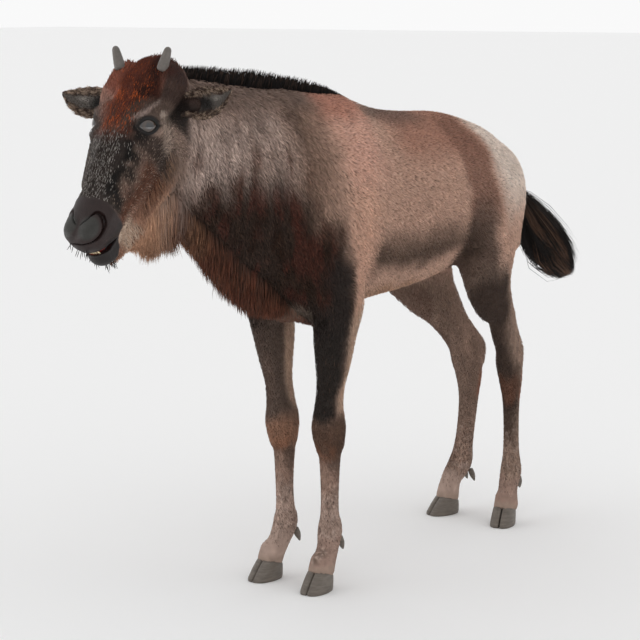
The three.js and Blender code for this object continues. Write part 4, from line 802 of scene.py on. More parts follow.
def add_strands(name, root, middle, tip, outward, width, thick, root_tint, tip_tint, stations=LOCK):
    """Closed three-sided blades, pointed at both ends, each along the parabola from root to tip that middle pulls it
    toward. A station is how far along a ring of three points lies and its share of the width."""
    t, share = np.array(stations).T
    count, rings = len(root), len(t)
    width, thick = (np.broadcast_to(v, count)[:, None] for v in (width, thick))
    centre = (((1 - t) ** 2)[:, None] * root[:, None] + (2 * t * (1 - t))[:, None] * middle[:, None]
              + (t * t)[:, None] * tip[:, None])
    run = unit(tip - root)
    aside = unit(np.cross(run, outward))
    corners = np.stack([aside * width / 2, -aside * width / 2, np.cross(aside, run) * thick], 1)
    rows = centre[:, :, None] + corners[:, None] * share[:, None, None]
    points = np.concatenate([root[:, None], rows.reshape(count, -1, 3), tip[:, None]], 1)
    each = 3 * rings + 2
    here, after = np.array([0, 1, 2]), np.array([1, 2, 0])
    ring = 1 + 3 * np.arange(rings - 1)[:, None]
    walls = np.concatenate([
        np.stack([1 + after, 1 + here, 0 * here], -1),
        np.stack([ring + here, ring + after, ring + 3 + after], -1).reshape(-1, 3),
        np.stack([ring + here, ring + 3 + after, ring + 3 + here], -1).reshape(-1, 3),
        np.stack([each - 4 + here, each - 4 + after, np.full(3, each - 1)], -1),
    ])
    faces = (walls[None] + each * np.arange(count)[:, None, None]).reshape(-1, 3)
    made = make_mesh(name, points.reshape(-1, 3), faces)
    along = np.concatenate([[0], np.repeat(t, 3), [1]])
    tints = root_tint[:, None] + (tip_tint - root_tint)[:, None] * along[:, None]
    add_attribute(made, "tint", "FLOAT_COLOR", np.clip(tints, 0, 1).reshape(-1, 3))
    patch = np.column_stack([np.concatenate([[0], np.tile([1, -1, 0], rings), [0]]), 2 * along - 1]) * 0.0015
    uv = (unwrap(root)[:, None] + patch).reshape(-1, 2)
    layer = made.data.uv_layers.new(name="OFBake")
    layer.uv.foreach_set("vector", uv[faces.ravel()].astype(np.float32).ravel())
    made.data.materials.append(hair)
    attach(made, "root")


rng = np.random.default_rng(7)
quads = np.array([face.vertices[:] for face in skin.data.polygons if len(face.vertices) == 4])
hide_points = coordinates(skin.data)
hide_normals = unit(slope(skin_field, hide_points, 1.5))


def sow(density):
    """Points strewn evenly over the skin, so many to a square metre as density says at each face's middle, and the
    normals there. The running total of area times density is cut in equal steps, and each step has one point."""
    a, b, c, d = (hide_points[quads[:, i]] for i in range(4))
    area = 0.5 * np.linalg.norm(np.cross(c - a, d - b), axis=1) * 1e-6
    total = np.cumsum(area * density((a + b + c + d) / 4))
    count = int(total[-1])
    picked = np.searchsorted(total, (np.arange(count) + rng.random(count)) * total[-1] / count)
    picked = quads[np.minimum(picked, len(quads) - 1)]
    u, v = rng.random((2, count, 1))

    def mixed(values):
        q = values[picked]
        return (1 - u) * (1 - v) * q[:, 0] + u * (1 - v) * q[:, 1] + u * v * q[:, 2] + (1 - u) * v * q[:, 3]

    return mixed(hide_points), unit(mixed(hide_normals))


def short_density(p):
    """Tufts to a square metre: dense and small on the face and shanks, fewer where the coat is longer."""
    thick = np.interp(p[:, 2], [62, 96, 130, 300, 480, 600], [0, 120000, 160000, 125000, 90000, 78000])
    face = np.interp(head_frame(p)[1], [-40, 60, 200, 262], [170000, 210000, 230000, 230000])
    density = np.where(p[:, 1] < FACE_Y, face, thick)
    return density * (1 - bare_muzzle(p)) * (in_lids(p)[0] < -3) * (p[:, 2] > 64)


root, normal = sow(short_density)
y, z = root[:, 1], root[:, 2]
x, s, n = head_frame(root)
count, depth, on_face, furry = len(root), coat_depth(root), smooth(-640, -720, y), smooth(-250, -400, y)
size = np.interp(z, [60, 200, 350, 500, 620], [5, 7, 8, 9, 10]) + 4 * furry * smooth(450, 520, z)
size = (size + (np.interp(s, [0, 120, 260], [8, 7, 5.5]) - size) * on_face) * rng.uniform(0.75, 1.3, count)
size = np.minimum(size, 2 + 0.3 * np.maximum(-in_lids(root)[0], 0))
flow = lie(root, normal)
drift = 0.18 * rng.standard_normal((count, 1)) * np.cross(flow, normal)
tip = root + (flow + drift) * size[:, None] + normal * (0.75 * depth * rng.uniform(0.5, 1.15, count))[:, None]
middle = root + flow * (0.5 * size)[:, None] + normal * (0.8 * depth)[:, None]
sunk = root - normal * 0.5
tone = markings(root)


def sprinkle(code, amount, chance):
    """Single tufts tinted toward a colour, each by its chance."""
    tone[:] = stain(tone, code, amount * (rng.random(count) < chance))


# Flecks: pale on the bridge, foxy on the forehead, pale and dark on cheek and shank
bridge = within(s, 130, 268, 12) * smooth(-24, -14, n) * on_face
rust = (1 - smooth(34, 56, np.abs(x) + 0.1 * s)) * within(s, -10, 130, 20) * on_face
cheeks = on_face * (1 - bridge) * (1 - rust) * smooth(60, 100, s)
sprinkle("a39c96", 0.75 * bridge, 0.3 + 0.12 * noise(root, 12, 30) - 0.26 * smooth(22, 36, x))
glow = smooth(0.0, 0.7, noise(root, 20, 31)) * (1 - smooth(14, 40, np.abs(x + 6)))
sprinkle("c9602e", 0.85 * rust, 0.1 + 0.34 * glow)
sprinkle("7c3f25", 0.8 * rust, 0.3)
sprinkle("c2ab99", 0.4 * cheeks, 0.16)
sprinkle("2e2420", 0.6 * cheeks, 0.22)
sprinkle("4a3930", 0.6 * (1 - on_face), 0.07)
low = (z < 185) * (rng.random(count) < 0.75 - 0.004 * np.maximum(z - 90, 0))
sprinkle("43322a", 0.75 * low, 0.5)
sprinkle("cdb5a6", 0.45 * low, 0.4)
shade = 1 + (0.1 + 0.1 * furry) * rng.standard_normal(count) + 0.1 * noise(root, 7, 32)
shade = np.clip(shade, 0.5, 1.6)[:, None]
width = size * 0.11 + 0.5
MOST_TUFTS = 33000  # in one piece
for region, chosen in {
    "coat_face": y < FACE_Y,
    "coat_neck": (y >= FACE_Y) & (y < SHOULDER_Y) & (z > 430),
    "coat_body": (y >= SHOULDER_Y) & (z >= LEG_TOP),
    "coat_forelegs": (y >= -430) & (y < HIND_Y) & (z < LEG_TOP),
    "coat_hind_legs": (y >= HIND_Y) & (z < LEG_TOP),
}.items():
    for half, here in (("left", chosen & (root[:, 0] >= 0)), ("right", chosen & (root[:, 0] < 0))):
        pieces = int(np.ceil(here.sum() / MOST_TUFTS))
        for i, part in enumerate(np.array_split(np.flatnonzero(here), pieces)):
            name = f"{region}_{half}" + (f"_{i + 1}" if pieces > 1 else "")
            add_strands(name, sunk[part], middle[part], tip[part], normal[part], width[part],
                        0.35 * width[part], tone[part] * 0.85 * shade[part], tone[part] * 1.1 * shade[part], TUFT)


# Mane: a calf's short upright brush of stiff black hair, a quarter of it brown-tipped. It grows in a strip along the
# neck's upper edge, from between the horns to the withers, and leans back a little.
def skinned(inside, beyond):
    """Where the line from a point inside the body to one beyond it leaves the skin, by halving it again and again."""
    near, far = np.zeros(len(inside)), np.ones(len(inside))
    for _ in range(11):
        half = (near + far) / 2
        outside = skin_field(inside + (beyond - inside) * half[:, None]) > 0
        near, far = np.where(outside, near, half), np.where(outside, half, far)
    return inside + (beyond - inside) * near[:, None]


def row_at(rows, y):
    """Each column of a table of rows by y, at the given y."""
    rows = np.asarray(rows, float)
    return [np.interp(y, rows[:, 0], rows[:, i]) for i in range(1, rows.shape[1])]


MANE = [  # y, the tips' height, a height inside the neck, half the brush's width
    [-706, 1024, 985, 8], [-690, 1030, 985, 9], [-642, 1014, 970, 10], [-540, 1008, 955, 11], [-436, 1000, 950, 11],
    [-288, 979, 930, 10], [-210, 962, 915, 8], [-150, 940, 900, 5],
]
count = 3600
y = rng.uniform(-706, -150, count)
top, inside, half = row_at(MANE, y)
x = half * np.clip(rng.standard_normal(count) * 0.5, -1, 1)
low = np.column_stack([x, y, inside])
root = skinned(low - [0, 0, 20], low + [0, 0, 60])
ends = (top - root[:, 2]) * rng.uniform(0.6, 1.06, count) * (1 - 0.35 * (x / half) ** 2)
lean = rng.normal(0.28, 0.16, count)
tip = root + np.column_stack([x * 0.25 + rng.normal(0, 1.5, count), ends * lean, ends])
middle = root + (tip - root) * 0.5 + np.column_stack([0 * y, -0.12 * ends, 0.1 * ends])
black = linear("120f0e") * rng.uniform(0.6, 1.5, (count, 1))
brown = np.where(rng.random((count, 1)) < 0.25, linear("3d2e25"), linear("191514")) * rng.uniform(0.7, 1.4, (count, 1))
add_strands("mane", root - [0, 0, 2], middle, tip, [1.0, 0, 0], 1.9, 0.8, black, brown)

# Beard and fringe: longer, softer hair in the coat's own brown, paler at its ends. The beard hangs from jaw and
# throat, and the fringe goes on from it down the front of neck and chest.
BEARD = [  # y, the tips' height, a height inside the throat, half the width
    [-786, 704, 775, 16], [-745, 690, 800, 26], [-713, 668, 805, 32], [-694, 650, 810, 34], [-674, 668, 810, 32],
    [-652, 700, 805, 28], [-640, 716, 800, 24],
]
FRINGE = [
    [-642, 716, 790, 22], [-620, 688, 780, 26], [-580, 655, 760, 28], [-560, 628, 745, 30], [-512, 582, 715, 30],
    [-455, 545, 680, 30], [-380, 530, 640, 30], [-300, 519, 590, 26], [-240, 520, 580, 16],
]
for name, edge, count, longest, ends_in in (
    ("beard", BEARD, 5600, 100, "c39474"),
    ("throat_fringe", FRINGE, 7200, 66, "7c4a36"),
):
    y = rng.uniform(edge[0][0], edge[-1][0], count)
    if name == "beard":
        y = np.where(rng.random(count) < 0.35, np.clip(rng.normal(-704, 20, count), -786, -642), y)
    tips_z, inside, half = row_at(edge, y)
    x = (half + 12) * rng.uniform(-1, 1, count)
    root = skinned(np.column_stack([x * 0.5, y, inside + 10]), np.column_stack([x * 1.6, y, tips_z - 60]))
    normal = unit(slope(skin_field, root, 1.5))
    hang = np.clip(root[:, 2] - tips_z, 12, longest)
    hang = hang * (1.1 - 0.4 * rng.random(count) ** 1.6) * (1 - 0.36 * (x / (half + 12)) ** 2)
    swing = rng.normal(0.12, 0.1, count)
    tip = root + np.column_stack([-0.25 * x * hang / 60 + rng.normal(0, 2.5, count), hang * swing, -hang])
    middle = root + 0.5 * (tip - root) + normal * (0.12 * hang)[:, None]
    tone = markings(root)
    toward = stain(np.tile(linear(ends_in), (count, 1)), "6d4938", smooth(-690, -655, y) * (y < -640))
    toward = stain(toward, "94694f", smooth(-570, -610, y) * (y > -640))
    ends = tone + (toward * rng.uniform(0.6, 1.3, (count, 1)) - tone) * rng.uniform(0.2, 0.8, (count, 1))
    add_strands(name, root - normal * 1.5, middle, tip, normal, rng.uniform(1.4, 2.6, count), 0.8,
                tone * 0.8, ends)


# Ruff and crown: tufts longer than the face's short hair. The ruff lies over the cheek's lower edge and leads into
# the beard, and the crown stands up between the horns.
def ruff_density(p):
    _, s, n = head_frame(p)
    return 90000 * within(s, 118, 322, 10) * (1 - smooth(-84, -70, n)) * (p[:, 1] < -640) * (1 - bare_muzzle(p))


def crown_density(p):
    x, s, n = head_frame(p)
    return 150000 * within(s, -34, 46, 12) * smooth(-84, -60, n) * (np.abs(x) < 84) * (p[:, 1] < -640)


for name, density, flow, shortest, longest, ends_in, share in (
    ("cheek_ruff", ruff_density, [0, 0.5, -0.86], 16, 30, "c39474", 0.5),
    ("crown", crown_density, [0, 0.35, 0.9], 8, 15, "5a3220", 0.3),
):
    root, normal = sow(density)
    flow = np.asarray(flow) + 0.14 * rng.standard_normal(root.shape)
    flow = unit(flow - 0.85 * normal * (flow * normal).sum(1)[:, None])
    size = rng.uniform(shortest, longest, (len(root), 1)) * (1 - 0.5 * smooth(235, 290, head_frame(root)[1]))[:, None]
    tip = root + flow * size + normal * 0.16 * size
    middle = root + flow * size * 0.5 + normal * 0.2 * size
    tone = markings(root)
    on_jaw = smooth(-735, -700, root[:, 1]) * (name != "crown")
    ends = stain(tone, ends_in, share * rng.random(len(root)) * (1 - on_jaw))
    add_strands(name, root - normal, middle, tip, normal, 1.1 + 0.03 * size[:, 0], 0.6, tone * 0.85, ends,
                LONG_TUFT)

# Tail: the dock's long coarse hair, black with a few brown locks. It grows from the dock's lower half and sweeps back
# and down in one tassel, blown a little open at its end.
TASSEL = np.array([  # y, z, half width, half depth
    [488, 700, 9, 14], [505, 670, 14, 33], [530, 640, 18, 49], [570, 608, 22, 59], [616, 582, 22, 58],
    [644, 560, 19, 48], [678, 535, 16, 36], [718, 514, 11, 19], [737, 504, 4, 5],
], float)
ACROSS_TAIL = np.array([0, 0.62, 0.78])
STRANDS, LOCKS = 5200, 90


def in_tassel(t, a, b):
    """The place a share t along the tassel, a of its half width to the left and b of its half depth up."""
    along = t * (len(TASSEL) - 1)
    y, z, half, deep = (np.interp(along, np.arange(len(TASSEL)), TASSEL[:, i]) for i in range(4))
    return np.column_stack([a * half, y, z]) + ACROSS_TAIL * (b * deep)[:, None]


lock = rng.integers(0, LOCKS, STRANDS)
angle, reach = rng.uniform(0, 2 * math.pi, LOCKS), np.sqrt(rng.uniform(0, 1, LOCKS))
lock_a, lock_b = (reach * np.cos(angle))[lock], (reach * np.sin(angle))[lock]
a = lock_a + 0.22 * rng.standard_normal(STRANDS)
b = lock_b + 0.16 * rng.standard_normal(STRANDS)
begin = rng.uniform(0, 1, LOCKS)[lock] ** 1.3 * 0.36 + rng.uniform(0, 0.08, STRANDS)
end = np.minimum(begin + rng.uniform(0.38, 0.85, LOCKS)[lock] + rng.uniform(-0.08, 0.05, STRANDS), 1.0)
dock_y = np.interp(begin, [0, 0.42], [470, 575])
dock_z = np.interp(dock_y, *np.array(DOCK).T[1:3])
root = np.column_stack([3 * a, dock_y, dock_z]) + ACROSS_TAIL * (4 * b)[:, None]
middle = in_tassel((begin + end) / 2, a, b)
tip = in_tassel(end, lock_a + 0.3 * (a - lock_a), lock_b + 0.3 * (b - lock_b))
stray = (smooth(0.45, 0.9, b) * within(end, 0.45, 0.9, 0.1) * rng.uniform(0, 1, STRANDS))[:, None]
tip += ACROSS_TAIL * (20 * stray) + [0, 40, -22] * stray + rng.normal(0, 3.5, (STRANDS, 3)) * [0.6, 1, 1]
black = linear("14110f") * rng.uniform(0.6, 1.5, (STRANDS, 1))
brown = np.where(rng.random((LOCKS, 1))[lock] < 0.22, linear("5a4234"), linear("1b1716"))
brown = brown * rng.uniform(0.7, 1.4, (STRANDS, 1))
outer = 0.75 * smooth(0.3, 0.75, b) * smooth(0.75, 0.45, end) * rng.uniform(0.4, 1, STRANDS)
add_strands("tail_tassel", root, 2 * middle - (root + tip) / 2, tip, [1.0, 0, 0],
            rng.uniform(0.9, 1.7, STRANDS), 0.7, stain(black * 1.4, "6b5b53", outer),
            stain(brown * 1.4, "7d6c63", outer))


# Eyes. Each is a smooth wet ball, held deep in its lids, with a wide level pupil in a dark brown iris with a black
# rim.
def add_loft(name, material, rings, replaced=None, tints=None):
    """A closed surface through rings of points, with as many in each, closed at both ends on the rings' middles."""
    count, around = rings.shape[:2]
    points = np.vstack([rings.reshape(-1, 3), rings[0].mean(0), rings[-1].mean(0)])
    i, j = np.arange(count - 1)[:, None] * around, np.arange(around)
    after = (j + 1) % around
    walls = np.stack([i + j, i + after, i + around + after, i + around + j], -1).reshape(-1, 4)
    first, last = np.full(around, count * around), np.full(around, count * around + 1)
    end = (count - 1) * around
    caps = np.vstack([np.stack([after, j, first], 1), np.stack([end + j, end + after, last], 1)])
    faces = np.vstack([walls[:, [0, 1, 2]], walls[:, [0, 2, 3]], caps])
    a, b, c = (points[faces[:, k]] for k in range(3))
    if (a * np.cross(b, c)).sum() - (points.mean(0) * np.cross(b - a, c - a)).sum() < 0:
        faces = faces[:, ::-1]
    made = make_mesh(name, points, faces)
    if tints is not None:
        add_attribute(made, "tint", "FLOAT_COLOR", tints(points))
    made.data.materials.append(material)
    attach(made, "root")
    if replaced:
        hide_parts(replaced)


def tube(middles, aside, ahead, wide, deep, angles):
    """Rings round a row of middles: cos angle times the half width aside, and sin angle times the half depth ahead."""
    wide, deep = np.reshape(wide, (-1, 1, 1)), np.reshape(deep, (-1, 1, 1))
    return (middles[:, None] + np.cos(angles)[:, None] * wide * np.asarray(aside)
            + np.sin(angles)[:, None] * deep * np.asarray(ahead))


# Cornea under tears: the colours lie below a clear wet coat, which gives a sharp glint
ball = new_material("wet_eyeball")
finish_material(ball, {"Roughness": 0.12, "Coat Weight": 1.0, "Coat Roughness": 0.03})
TURN = np.linspace(0, 2 * math.pi, 48, endpoint=False)
SIDES = (("left", 1), ("right", -1))


def eye_tints(p):
    """Pupil, iris, rim and white by the angle away from the gaze."""
    q = unit(mirrored(p) - EYE)
    a, b, ahead = q @ LID_ALONG, q @ LID_UP, q @ GAZE
    wide = np.sqrt(np.maximum(1 - ahead**2, 0))
    c = np.tile(linear("1f1510"), (len(p), 1))
    c = stain(c, "38281c", 0.8 * within(wide, 0.38, 0.58, 0.08))
    c = stain(c, "0a0c10", 1 - smooth(0.9, 1.1, np.hypot(a / 0.36, b / 0.22)))
    c = stain(c, "0b0908", smooth(0.60, 0.68, wide))
    return stain(c, "46382f", smooth(0.78, 0.86, wide) + (ahead < 0))


polar = np.linspace(0.02, math.pi - 0.02, 30)
radius = EYE_RADIUS * np.sin(polar)
for name, side in SIDES:
    rings = tube(EYE + np.outer(np.cos(polar), GAZE * EYE_RADIUS), LID_ALONG, LID_UP, radius, radius, TURN)
    add_loft(f"eyeball_{name}", ball, rings * [side, 1, 1], f"eye_{name}", eye_tints)


# Horns: a calf's short straight spikes of smooth grey horn, faintly ringed at the foot. Each grows on a core of bone
# out of a low boss of skin, and its own foot bends back under the skin.
def horny(name, dark, pale, scale, detail, stretch, strength, roughness):
    """Grown horn: a fine grain, drawn out along the growth, runs from a dark to a pale tone and lifts the surface
    a little. Each tone is its place in the grain and its colour."""
    made = new_material(name)
    place = add_node(made, "TexCoord").outputs["Object"]
    stretched = add_node(made, "Mapping", {"Vector": place, "Scale": (1, 1, stretch)})
    grain = add_node(made, "TexNoise", {"Vector": stretched.outputs["Vector"], "Scale": scale, "Detail": detail})
    tones = add_node(made, "ValToRGB", {"Fac": grain.outputs["Fac"]})
    for stop, (position, code) in zip(tones.color_ramp.elements, (dark, pale)):
        stop.position, stop.color = position, (*linear(code), 1)
    bump = add_node(made, "Bump", {"Height": grain.outputs["Fac"], "Strength": strength, "Distance": 0.001})
    finish_material(made, {"Base Color": tones.outputs["Color"], "Normal": bump.outputs["Normal"],
                           "Roughness": roughness})
    return made


# Young horn: smooth keratin with a dull sheen, mottled rather than streaked
spike = horny("young_horn", (0, "433e3a"), (1, "6b645e"), 160.0, 5.0, 1, 0.25, 0.5)
HORN_FOOT, HORN_TIP, HORN_RADIUS = np.array([49, -729, 1010.0]), np.array([62, -727, 1046.0]), 10
aside = unit(np.cross(unit(HORN_TIP - HORN_FOOT), [0, 1, 0]))
t = np.linspace(-0.4, 1, 40)
share = np.interp(t, [-0.4, -0.1, 0.2, 0.6, 0.85, 0.95, 0.985, 1], [0.9, 1.0, 0.95, 0.78, 0.64, 0.44, 0.25, 0.04])
radius = HORN_RADIUS * share * (1 + 0.012 * np.sin(t * 34) * (t < 0.5))
bent_back = np.outer(300 * np.minimum(t, 0) ** 2, [0, 1, 0])
middles = HORN_FOOT + np.outer(t, HORN_TIP - HORN_FOOT) + bent_back
for name, side in SIDES:
    rings = tube(middles, aside, np.cross(aside, unit(HORN_TIP - HORN_FOOT)), radius, radius, TURN[::2])
    add_loft(f"horn_spike_{name}", spike, rings * [side, 1, 1], f"horn_{name}")

# Ears: thin leaf-shaped cups of skin and gristle, held out level. Rim and back are dark and flecked, the cup is grey
# with a pale patch, its grey darkened by painted shade. Short hair covers back and rim, and is black in the cup's root,
# partly dark hair and partly painted shade of the cup's depth.
# Thin skin: matt, with pores a few millimetres apart, wider than real ones so that they show
leather = new_material("ear_skin")
place = add_node(leather, "TexCoord").outputs["Object"]
pores = add_node(leather, "TexNoise", {"Vector": place, "Scale": 300.0, "Detail": 4.0})
bump = add_node(leather, "Bump", {"Height": pores.outputs["Fac"], "Strength": 0.3, "Distance": 0.001})
finish_material(leather, {"Roughness": 0.8, "Normal": bump.outputs["Normal"]})
EAR_ROWS = np.array([  # share of the way out, half width, depth, wall, how far the leaf rises
    (-0.06, 17, 19, 13, 0), (0.04, 18, 19, 9, 0), (0.13, 21, 18, 4.5, -1), (0.25, 25, 17, 3.6, -3),
    (0.45, 27, 15, 3.2, -6), (0.65, 23, 12, 2.8, -7), (0.82, 15, 7, 2.4, -5), (0.94, 7, 3, 2, 0), (1.0, 1.5, 1, 1.2, 3),
])
EAR_ROOT, EAR_FUR = np.array([80.0, -702, 946]), 7000
EAR_RINGS, EAR_AROUND = 46, 50
t = np.linspace(-0.06, 0.995, EAR_RINGS)
half, deep, wall, rise = (np.interp(t, EAR_ROWS[:, 0], EAR_ROWS[:, i])[:, None] for i in range(1, 5))
outer, inner = np.radians(np.linspace(-100, 100, 25)), np.radians(np.linspace(92, -92, 25))
angles, inside = np.concatenate([outer, inner]), np.repeat([0.0, 1.0], 25)
u = (half - inside * wall * 0.8) * np.sin(angles)
v = -np.maximum(deep - inside * wall, 0.2) * np.cos(angles) + 0.4 * deep


def at_points(values, ends=(0, 0)):
    """Values for the ear's rings of points, and for the two points that close it."""
    return np.append(np.broadcast_to(values, (EAR_RINGS, EAR_AROUND)).ravel(), ends)


outward, cup, t_out, u_out = at_points(np.abs(u) / half), at_points(inside), at_points(t[:, None], (0, 1)), at_points(u)


def ear_tints(p):
    """Dark flecked rim and back, grey cup with a pale patch, darkened by painted shade, and black deep in it, partly
    dark hair and partly painted shade.
    """
    c = np.tile(linear("3a2c26"), (len(p), 1))
    # The cup's grey, darker toward its middle: painted shade of the cup
    c = stain(c, "5f5954", 0.95 * cup * smooth(0.56, 0.34, outward + 0.2 * noise(p, 6, 20)))
    c = stain(c, "948d86", 0.7 * cup * within(outward, 0.1, 0.4, 0.1) * within(t_out, 0.5, 0.72, 0.08) * (u_out > 0))
    # Black deep in the cup's root: dark hair there, darkened further as painted shade of the cup's depth
    c = stain(c, "161312", 0.94 * cup * smooth(0.55, 0.2, outward + 0.25 * noise(p, 9, 22)) * smooth(0.6, 0.42, t_out))
    flecks = smooth(-0.1, 0.4, noise(p, 2.6, 21)) * smooth(0.45, 0.62, outward + 0.35 * (1 - cup))
    return stain(c, "b19a86", 0.8 * flecks)


for name, side in SIDES:
    ear_tip = np.array([80 + 0.98 * 118, -722, 966 + 8 * side])
    way = unit(ear_tip - EAR_ROOT)
    wide = np.array([-0.22, 0.12, 0.97])
    wide = unit(wide - way * (wide @ way))
    front = np.cross(wide, way)
    front = front * -np.sign(front[1])
    leaf = u * (1 + 0.03 * np.sin(t * 40)[:, None]) + rise
    rings = (EAR_ROOT + t[:, None, None] * np.linalg.norm(ear_tip - EAR_ROOT) * way + leaf[..., None] * wide
             + v[..., None] * front) * [side, 1, 1]
    add_loft(f"ear_cup_{name}", leather, rings, f"ear_{name}", ear_tints)
    grid = np.arange(EAR_RINGS * EAR_AROUND).reshape(EAR_RINGS, EAR_AROUND)
    turned = np.roll(grid, -1, 1)
    ear_quads = np.stack([grid[:-1], turned[:-1], turned[1:], grid[1:]], -1).reshape(-1, 4)
    ear_normals = unit(np.cross(np.gradient(rings, axis=0), np.roll(rings, -1, 1) - np.roll(rings, 1, 1)))
    ear_normals *= np.sign(((rings - rings.mean(1, keepdims=True)) * ear_normals)[:, :25].sum())
    flat = rings.reshape(-1, 3)
    tints = ear_tints(np.vstack([flat, flat[:2]]))
    data = np.hstack([flat, tints[:-2], outward[:-2, None], cup[:-2, None]])
    picks = ear_quads[rng.integers(0, len(ear_quads), EAR_FUR)]
    w = rng.dirichlet([1, 1, 1, 1], EAR_FUR)[..., None]
    mixed, normal = (w * data[picks]).sum(1), unit((w * ear_normals.reshape(-1, 3)[picks]).sum(1))
    keep = (mixed[:, 7] < 0.5) | (mixed[:, 6] > 0.4) | (rng.random(EAR_FUR) < 0.7)
    mixed, normal = mixed[keep], normal[keep]
    root, tone = mixed[:, :3], mixed[:, 3:6] * rng.uniform(0.5, 1.7, (len(mixed), 1))
    flow = way * [side, 1, 1] + 0.35 * rng.standard_normal(root.shape)
    flow = unit(flow - normal * (flow * normal).sum(1)[:, None])
    size = rng.uniform(4, 8, len(root))
    size = np.minimum(size, 0.25 * np.maximum(side * (side * ear_tip[0] + 6 * side - root[:, 0]), 8))
    tip = root + (flow * 0.9 + normal * 0.28) * size[:, None]
    add_strands(f"ear_fur_{name}", root - normal * 0.3, (root + tip) / 2 + normal * 0.5, tip, normal, 0.9, 0.4,
                tone * 0.8, tone * 1.3, TUFT)

# Hooves: two claws of dull grey-brown horn on each foot, grown down from the coronet and flat-soled, and two small
# dewclaws that hang behind the fetlock.
# Hoof horn: dry worn keratin, dull, with fine level growth lines
hoof = horny("hoof_horn", (0.3, "5a524a"), (0.75, "736a61"), 60.0, 3.0, 5, 0.2, 0.55)
CLAW_WIDTH, CLEFT, CLAW_TOP = 24, 0.8, 38
CLAW_ROWS = np.array([  # height, toe, heel, share of the width
    (0, 40, -30, 0.97), (1, 42, -31, 1.02), (5, 42, -33, 1.05), (20, 29, -33, 1.02), (32, 17, -32, 0.98),
    (36, 13, -31, 0.95), (CLAW_TOP, 10, -28, 0.84),
])
z, toe, heel, share = (np.interp(np.linspace(0, CLAW_TOP, 20), *CLAW_ROWS.T[[0, i]])[:, None] for i in range(4))
z[1] = 0.6
turn, along = np.linspace(0, math.pi, 25), np.linspace(0.04, 0.96, 9)
u = CLEFT + 1.6 * np.cos(turn) ** 2 + CLAW_WIDTH * share * np.sin(turn) ** 0.8
v = (toe + heel) / 2 + (toe - heel) / 2 * np.cos(turn)
u = np.hstack([u, np.full((20, 9), CLEFT)])
v = np.hstack([v, heel + 3 + (toe - 8 - heel) * along])
height = z * (1 + CORONET_FALL * v / CORONET_Z * (z / CLAW_TOP))
spur_share = np.linspace(0, 1, 14)
spur_radius = np.interp(spur_share, [0, 0.35, 0.6, 0.85, 0.97, 1], [6.5, 7.4, 6.0, 3.2, 1.5, 0.3])
for name, (side, x, y, *_) in FEET.items():
    ahead = toe_ahead(name)
    aside = side * np.array([-ahead[1], ahead[0], 0])
    fetlock = np.array([side * 55, -266, 0]) if name.startswith("fore") else np.array([x - side * 13, 370, 0])
    for which, hand in (("outer", 1), ("inner", -1)):
        rings = [x, y, 0] + hand * u[..., None] * aside + v[..., None] * ahead + height[..., None] * [0, 0, 1]
        add_loft(f"{name}_hoof_{which}", hoof, rings, f"{name}_claw_{which}")
        start = fetlock + 12 * hand * aside - 16 * ahead + [0, 0, 92]
        end = fetlock + 12.5 * hand * aside - 28 * ahead + [0, 0, 64]
        rings = tube(start + np.outer(spur_share, end - start), aside, np.cross(unit(end - start), aside),
                     spur_radius, spur_radius * 0.85, TURN[::3])
        add_loft(f"{name}_spur_{which}", hoof, rings, f"{name}_dewclaw_{which}")


# Bristles: stiff black feelers, each a single thick hair rooted just under the bare skin of the chin and of the
# upper lip's edge.
def on_patch(spot, x, wide, s, tall, n):
    """Places on a patch of the head, at shares of its width and of its height."""
    return on_head(x + wide * spot[:, 0], s + tall * spot[:, 1], n)


feelers = []
for count, inside, beyond in (
    (28, (-26, 52, 308, 23, -82), (-40, 80, 338, 24, -122)),
    (13, (-30, 42, 308, 8, -24), (-44, 58, 352, 10, -44)),
):
    spot = rng.random((count, 2))
    inside, beyond = on_patch(spot, *inside), on_patch(spot, *beyond)
    feelers.append(np.hstack([skinned(inside, beyond), unit(beyond - inside)]))
root, way = np.vstack(feelers)[:, :3], np.vstack(feelers)[:, 3:]
way = unit(way + 0.18 * rng.standard_normal(root.shape))
size = rng.uniform(11, 19, (len(root), 1))
ink = np.tile(linear("161312"), (len(root), 1))
add_strands("bristles", root - way * 2, root + way * size * 0.5 + rng.normal(0, 0.6, root.shape),
            root + way * size, [1.0, 0.1, 0], 1.2, 1.0, ink, ink)

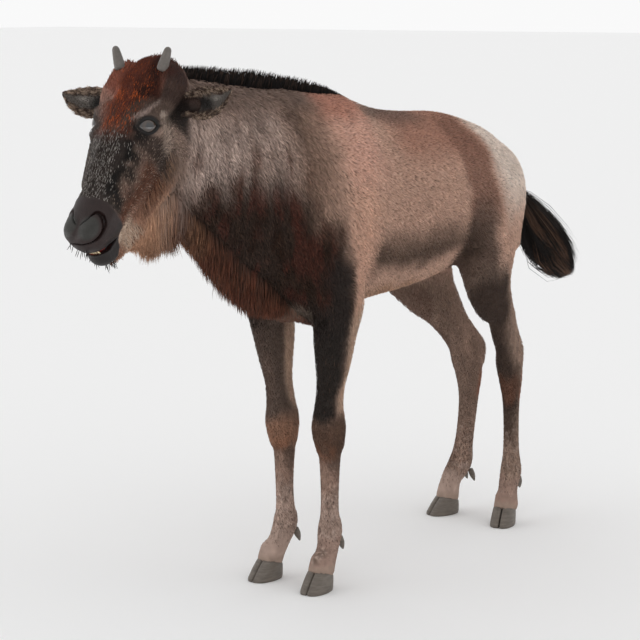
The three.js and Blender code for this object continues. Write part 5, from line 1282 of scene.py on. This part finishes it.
# Teeth: a calf's six small milk teeth, set side by side in the lower jaw and seen as a line along the lip. Enamel is
# smooth and creamy, with a small bright shine.
enamel = new_material("milk_teeth")
finish_material(enamel, {"Base Color": (*linear("cdbb98"), 1), "Roughness": 0.3})
TOOTH_PITCH, TOOTH_HALF, TOOTH_THICK, TOOTH_TALL, TOOTH_EDGE = 5.2, 2.4, 1.3, 9.2, 1.8
fall, share = np.array([0, 0.06, 0.5, 1]), np.array([0.7, 0.94, 1, 0.8])
for i in range(6):
    x = (i - 2.5) * TOOTH_PITCH
    s = 332 - x * x / 60
    top = -36 - 23 * (352 - s) / 34 - TOOTH_EDGE
    rings = tube(on_head(x, s, top - fall * TOOTH_TALL), [1, 0, 0], DOWN_FACE, TOOTH_HALF * share,
                 TOOTH_THICK * share, TURN[::4])
    add_loft(f"tooth_{i + 1}", enamel, rings)

# The floor: a wide level sheet of pale studio paper, which is matt and shows only soft shadows. Three soft lamps and
# an even pale sky light it.
FLOOR_HALF = 60000
floor = make_mesh("floor", np.array([[-1, -1, 0], [1, -1, 0], [1, 1, 0], [-1, 1, 0]]) * FLOOR_HALF,
                  np.array([[0, 1, 2, 3]]))
paper = new_material("pale_studio_paper")
finish_material(paper, {"Base Color": (*linear("f4f4f4"), 1), "Roughness": 0.9})
floor.data.materials.append(paper)
for name, place, watts, size in (
    ("key_lamp", (3200, -2400, 3000), 440, 2.2),
    ("fill_lamp", (-2800, -2400, 2600), 590, 1.8),
    ("rim_lamp", (3000, 2200, 2400), 300, 2.0),
):
    lamp = bpy.data.objects.new(name, bpy.data.lights.new(name, "AREA"))
    lamp.data.energy = watts
    lamp.data.size = size
    lamp.location = metres(place)
    aim = np.array([0, -100, 600.0]) - place
    lamp.rotation_euler = (math.acos(-aim[2] / np.linalg.norm(aim)), 0, math.atan2(aim[0], -aim[1]))
    bpy.context.scene.collection.objects.link(lamp)
world = bpy.data.worlds.new("pale_sky")
world.use_nodes = True
sky = world.node_tree.nodes["Background"].inputs
sky["Color"].default_value = (1, 1, 1, 1)
sky["Strength"].default_value = 0.95
bpy.context.scene.world = world
bpy.context.scene.view_settings.view_transform = "Standard"
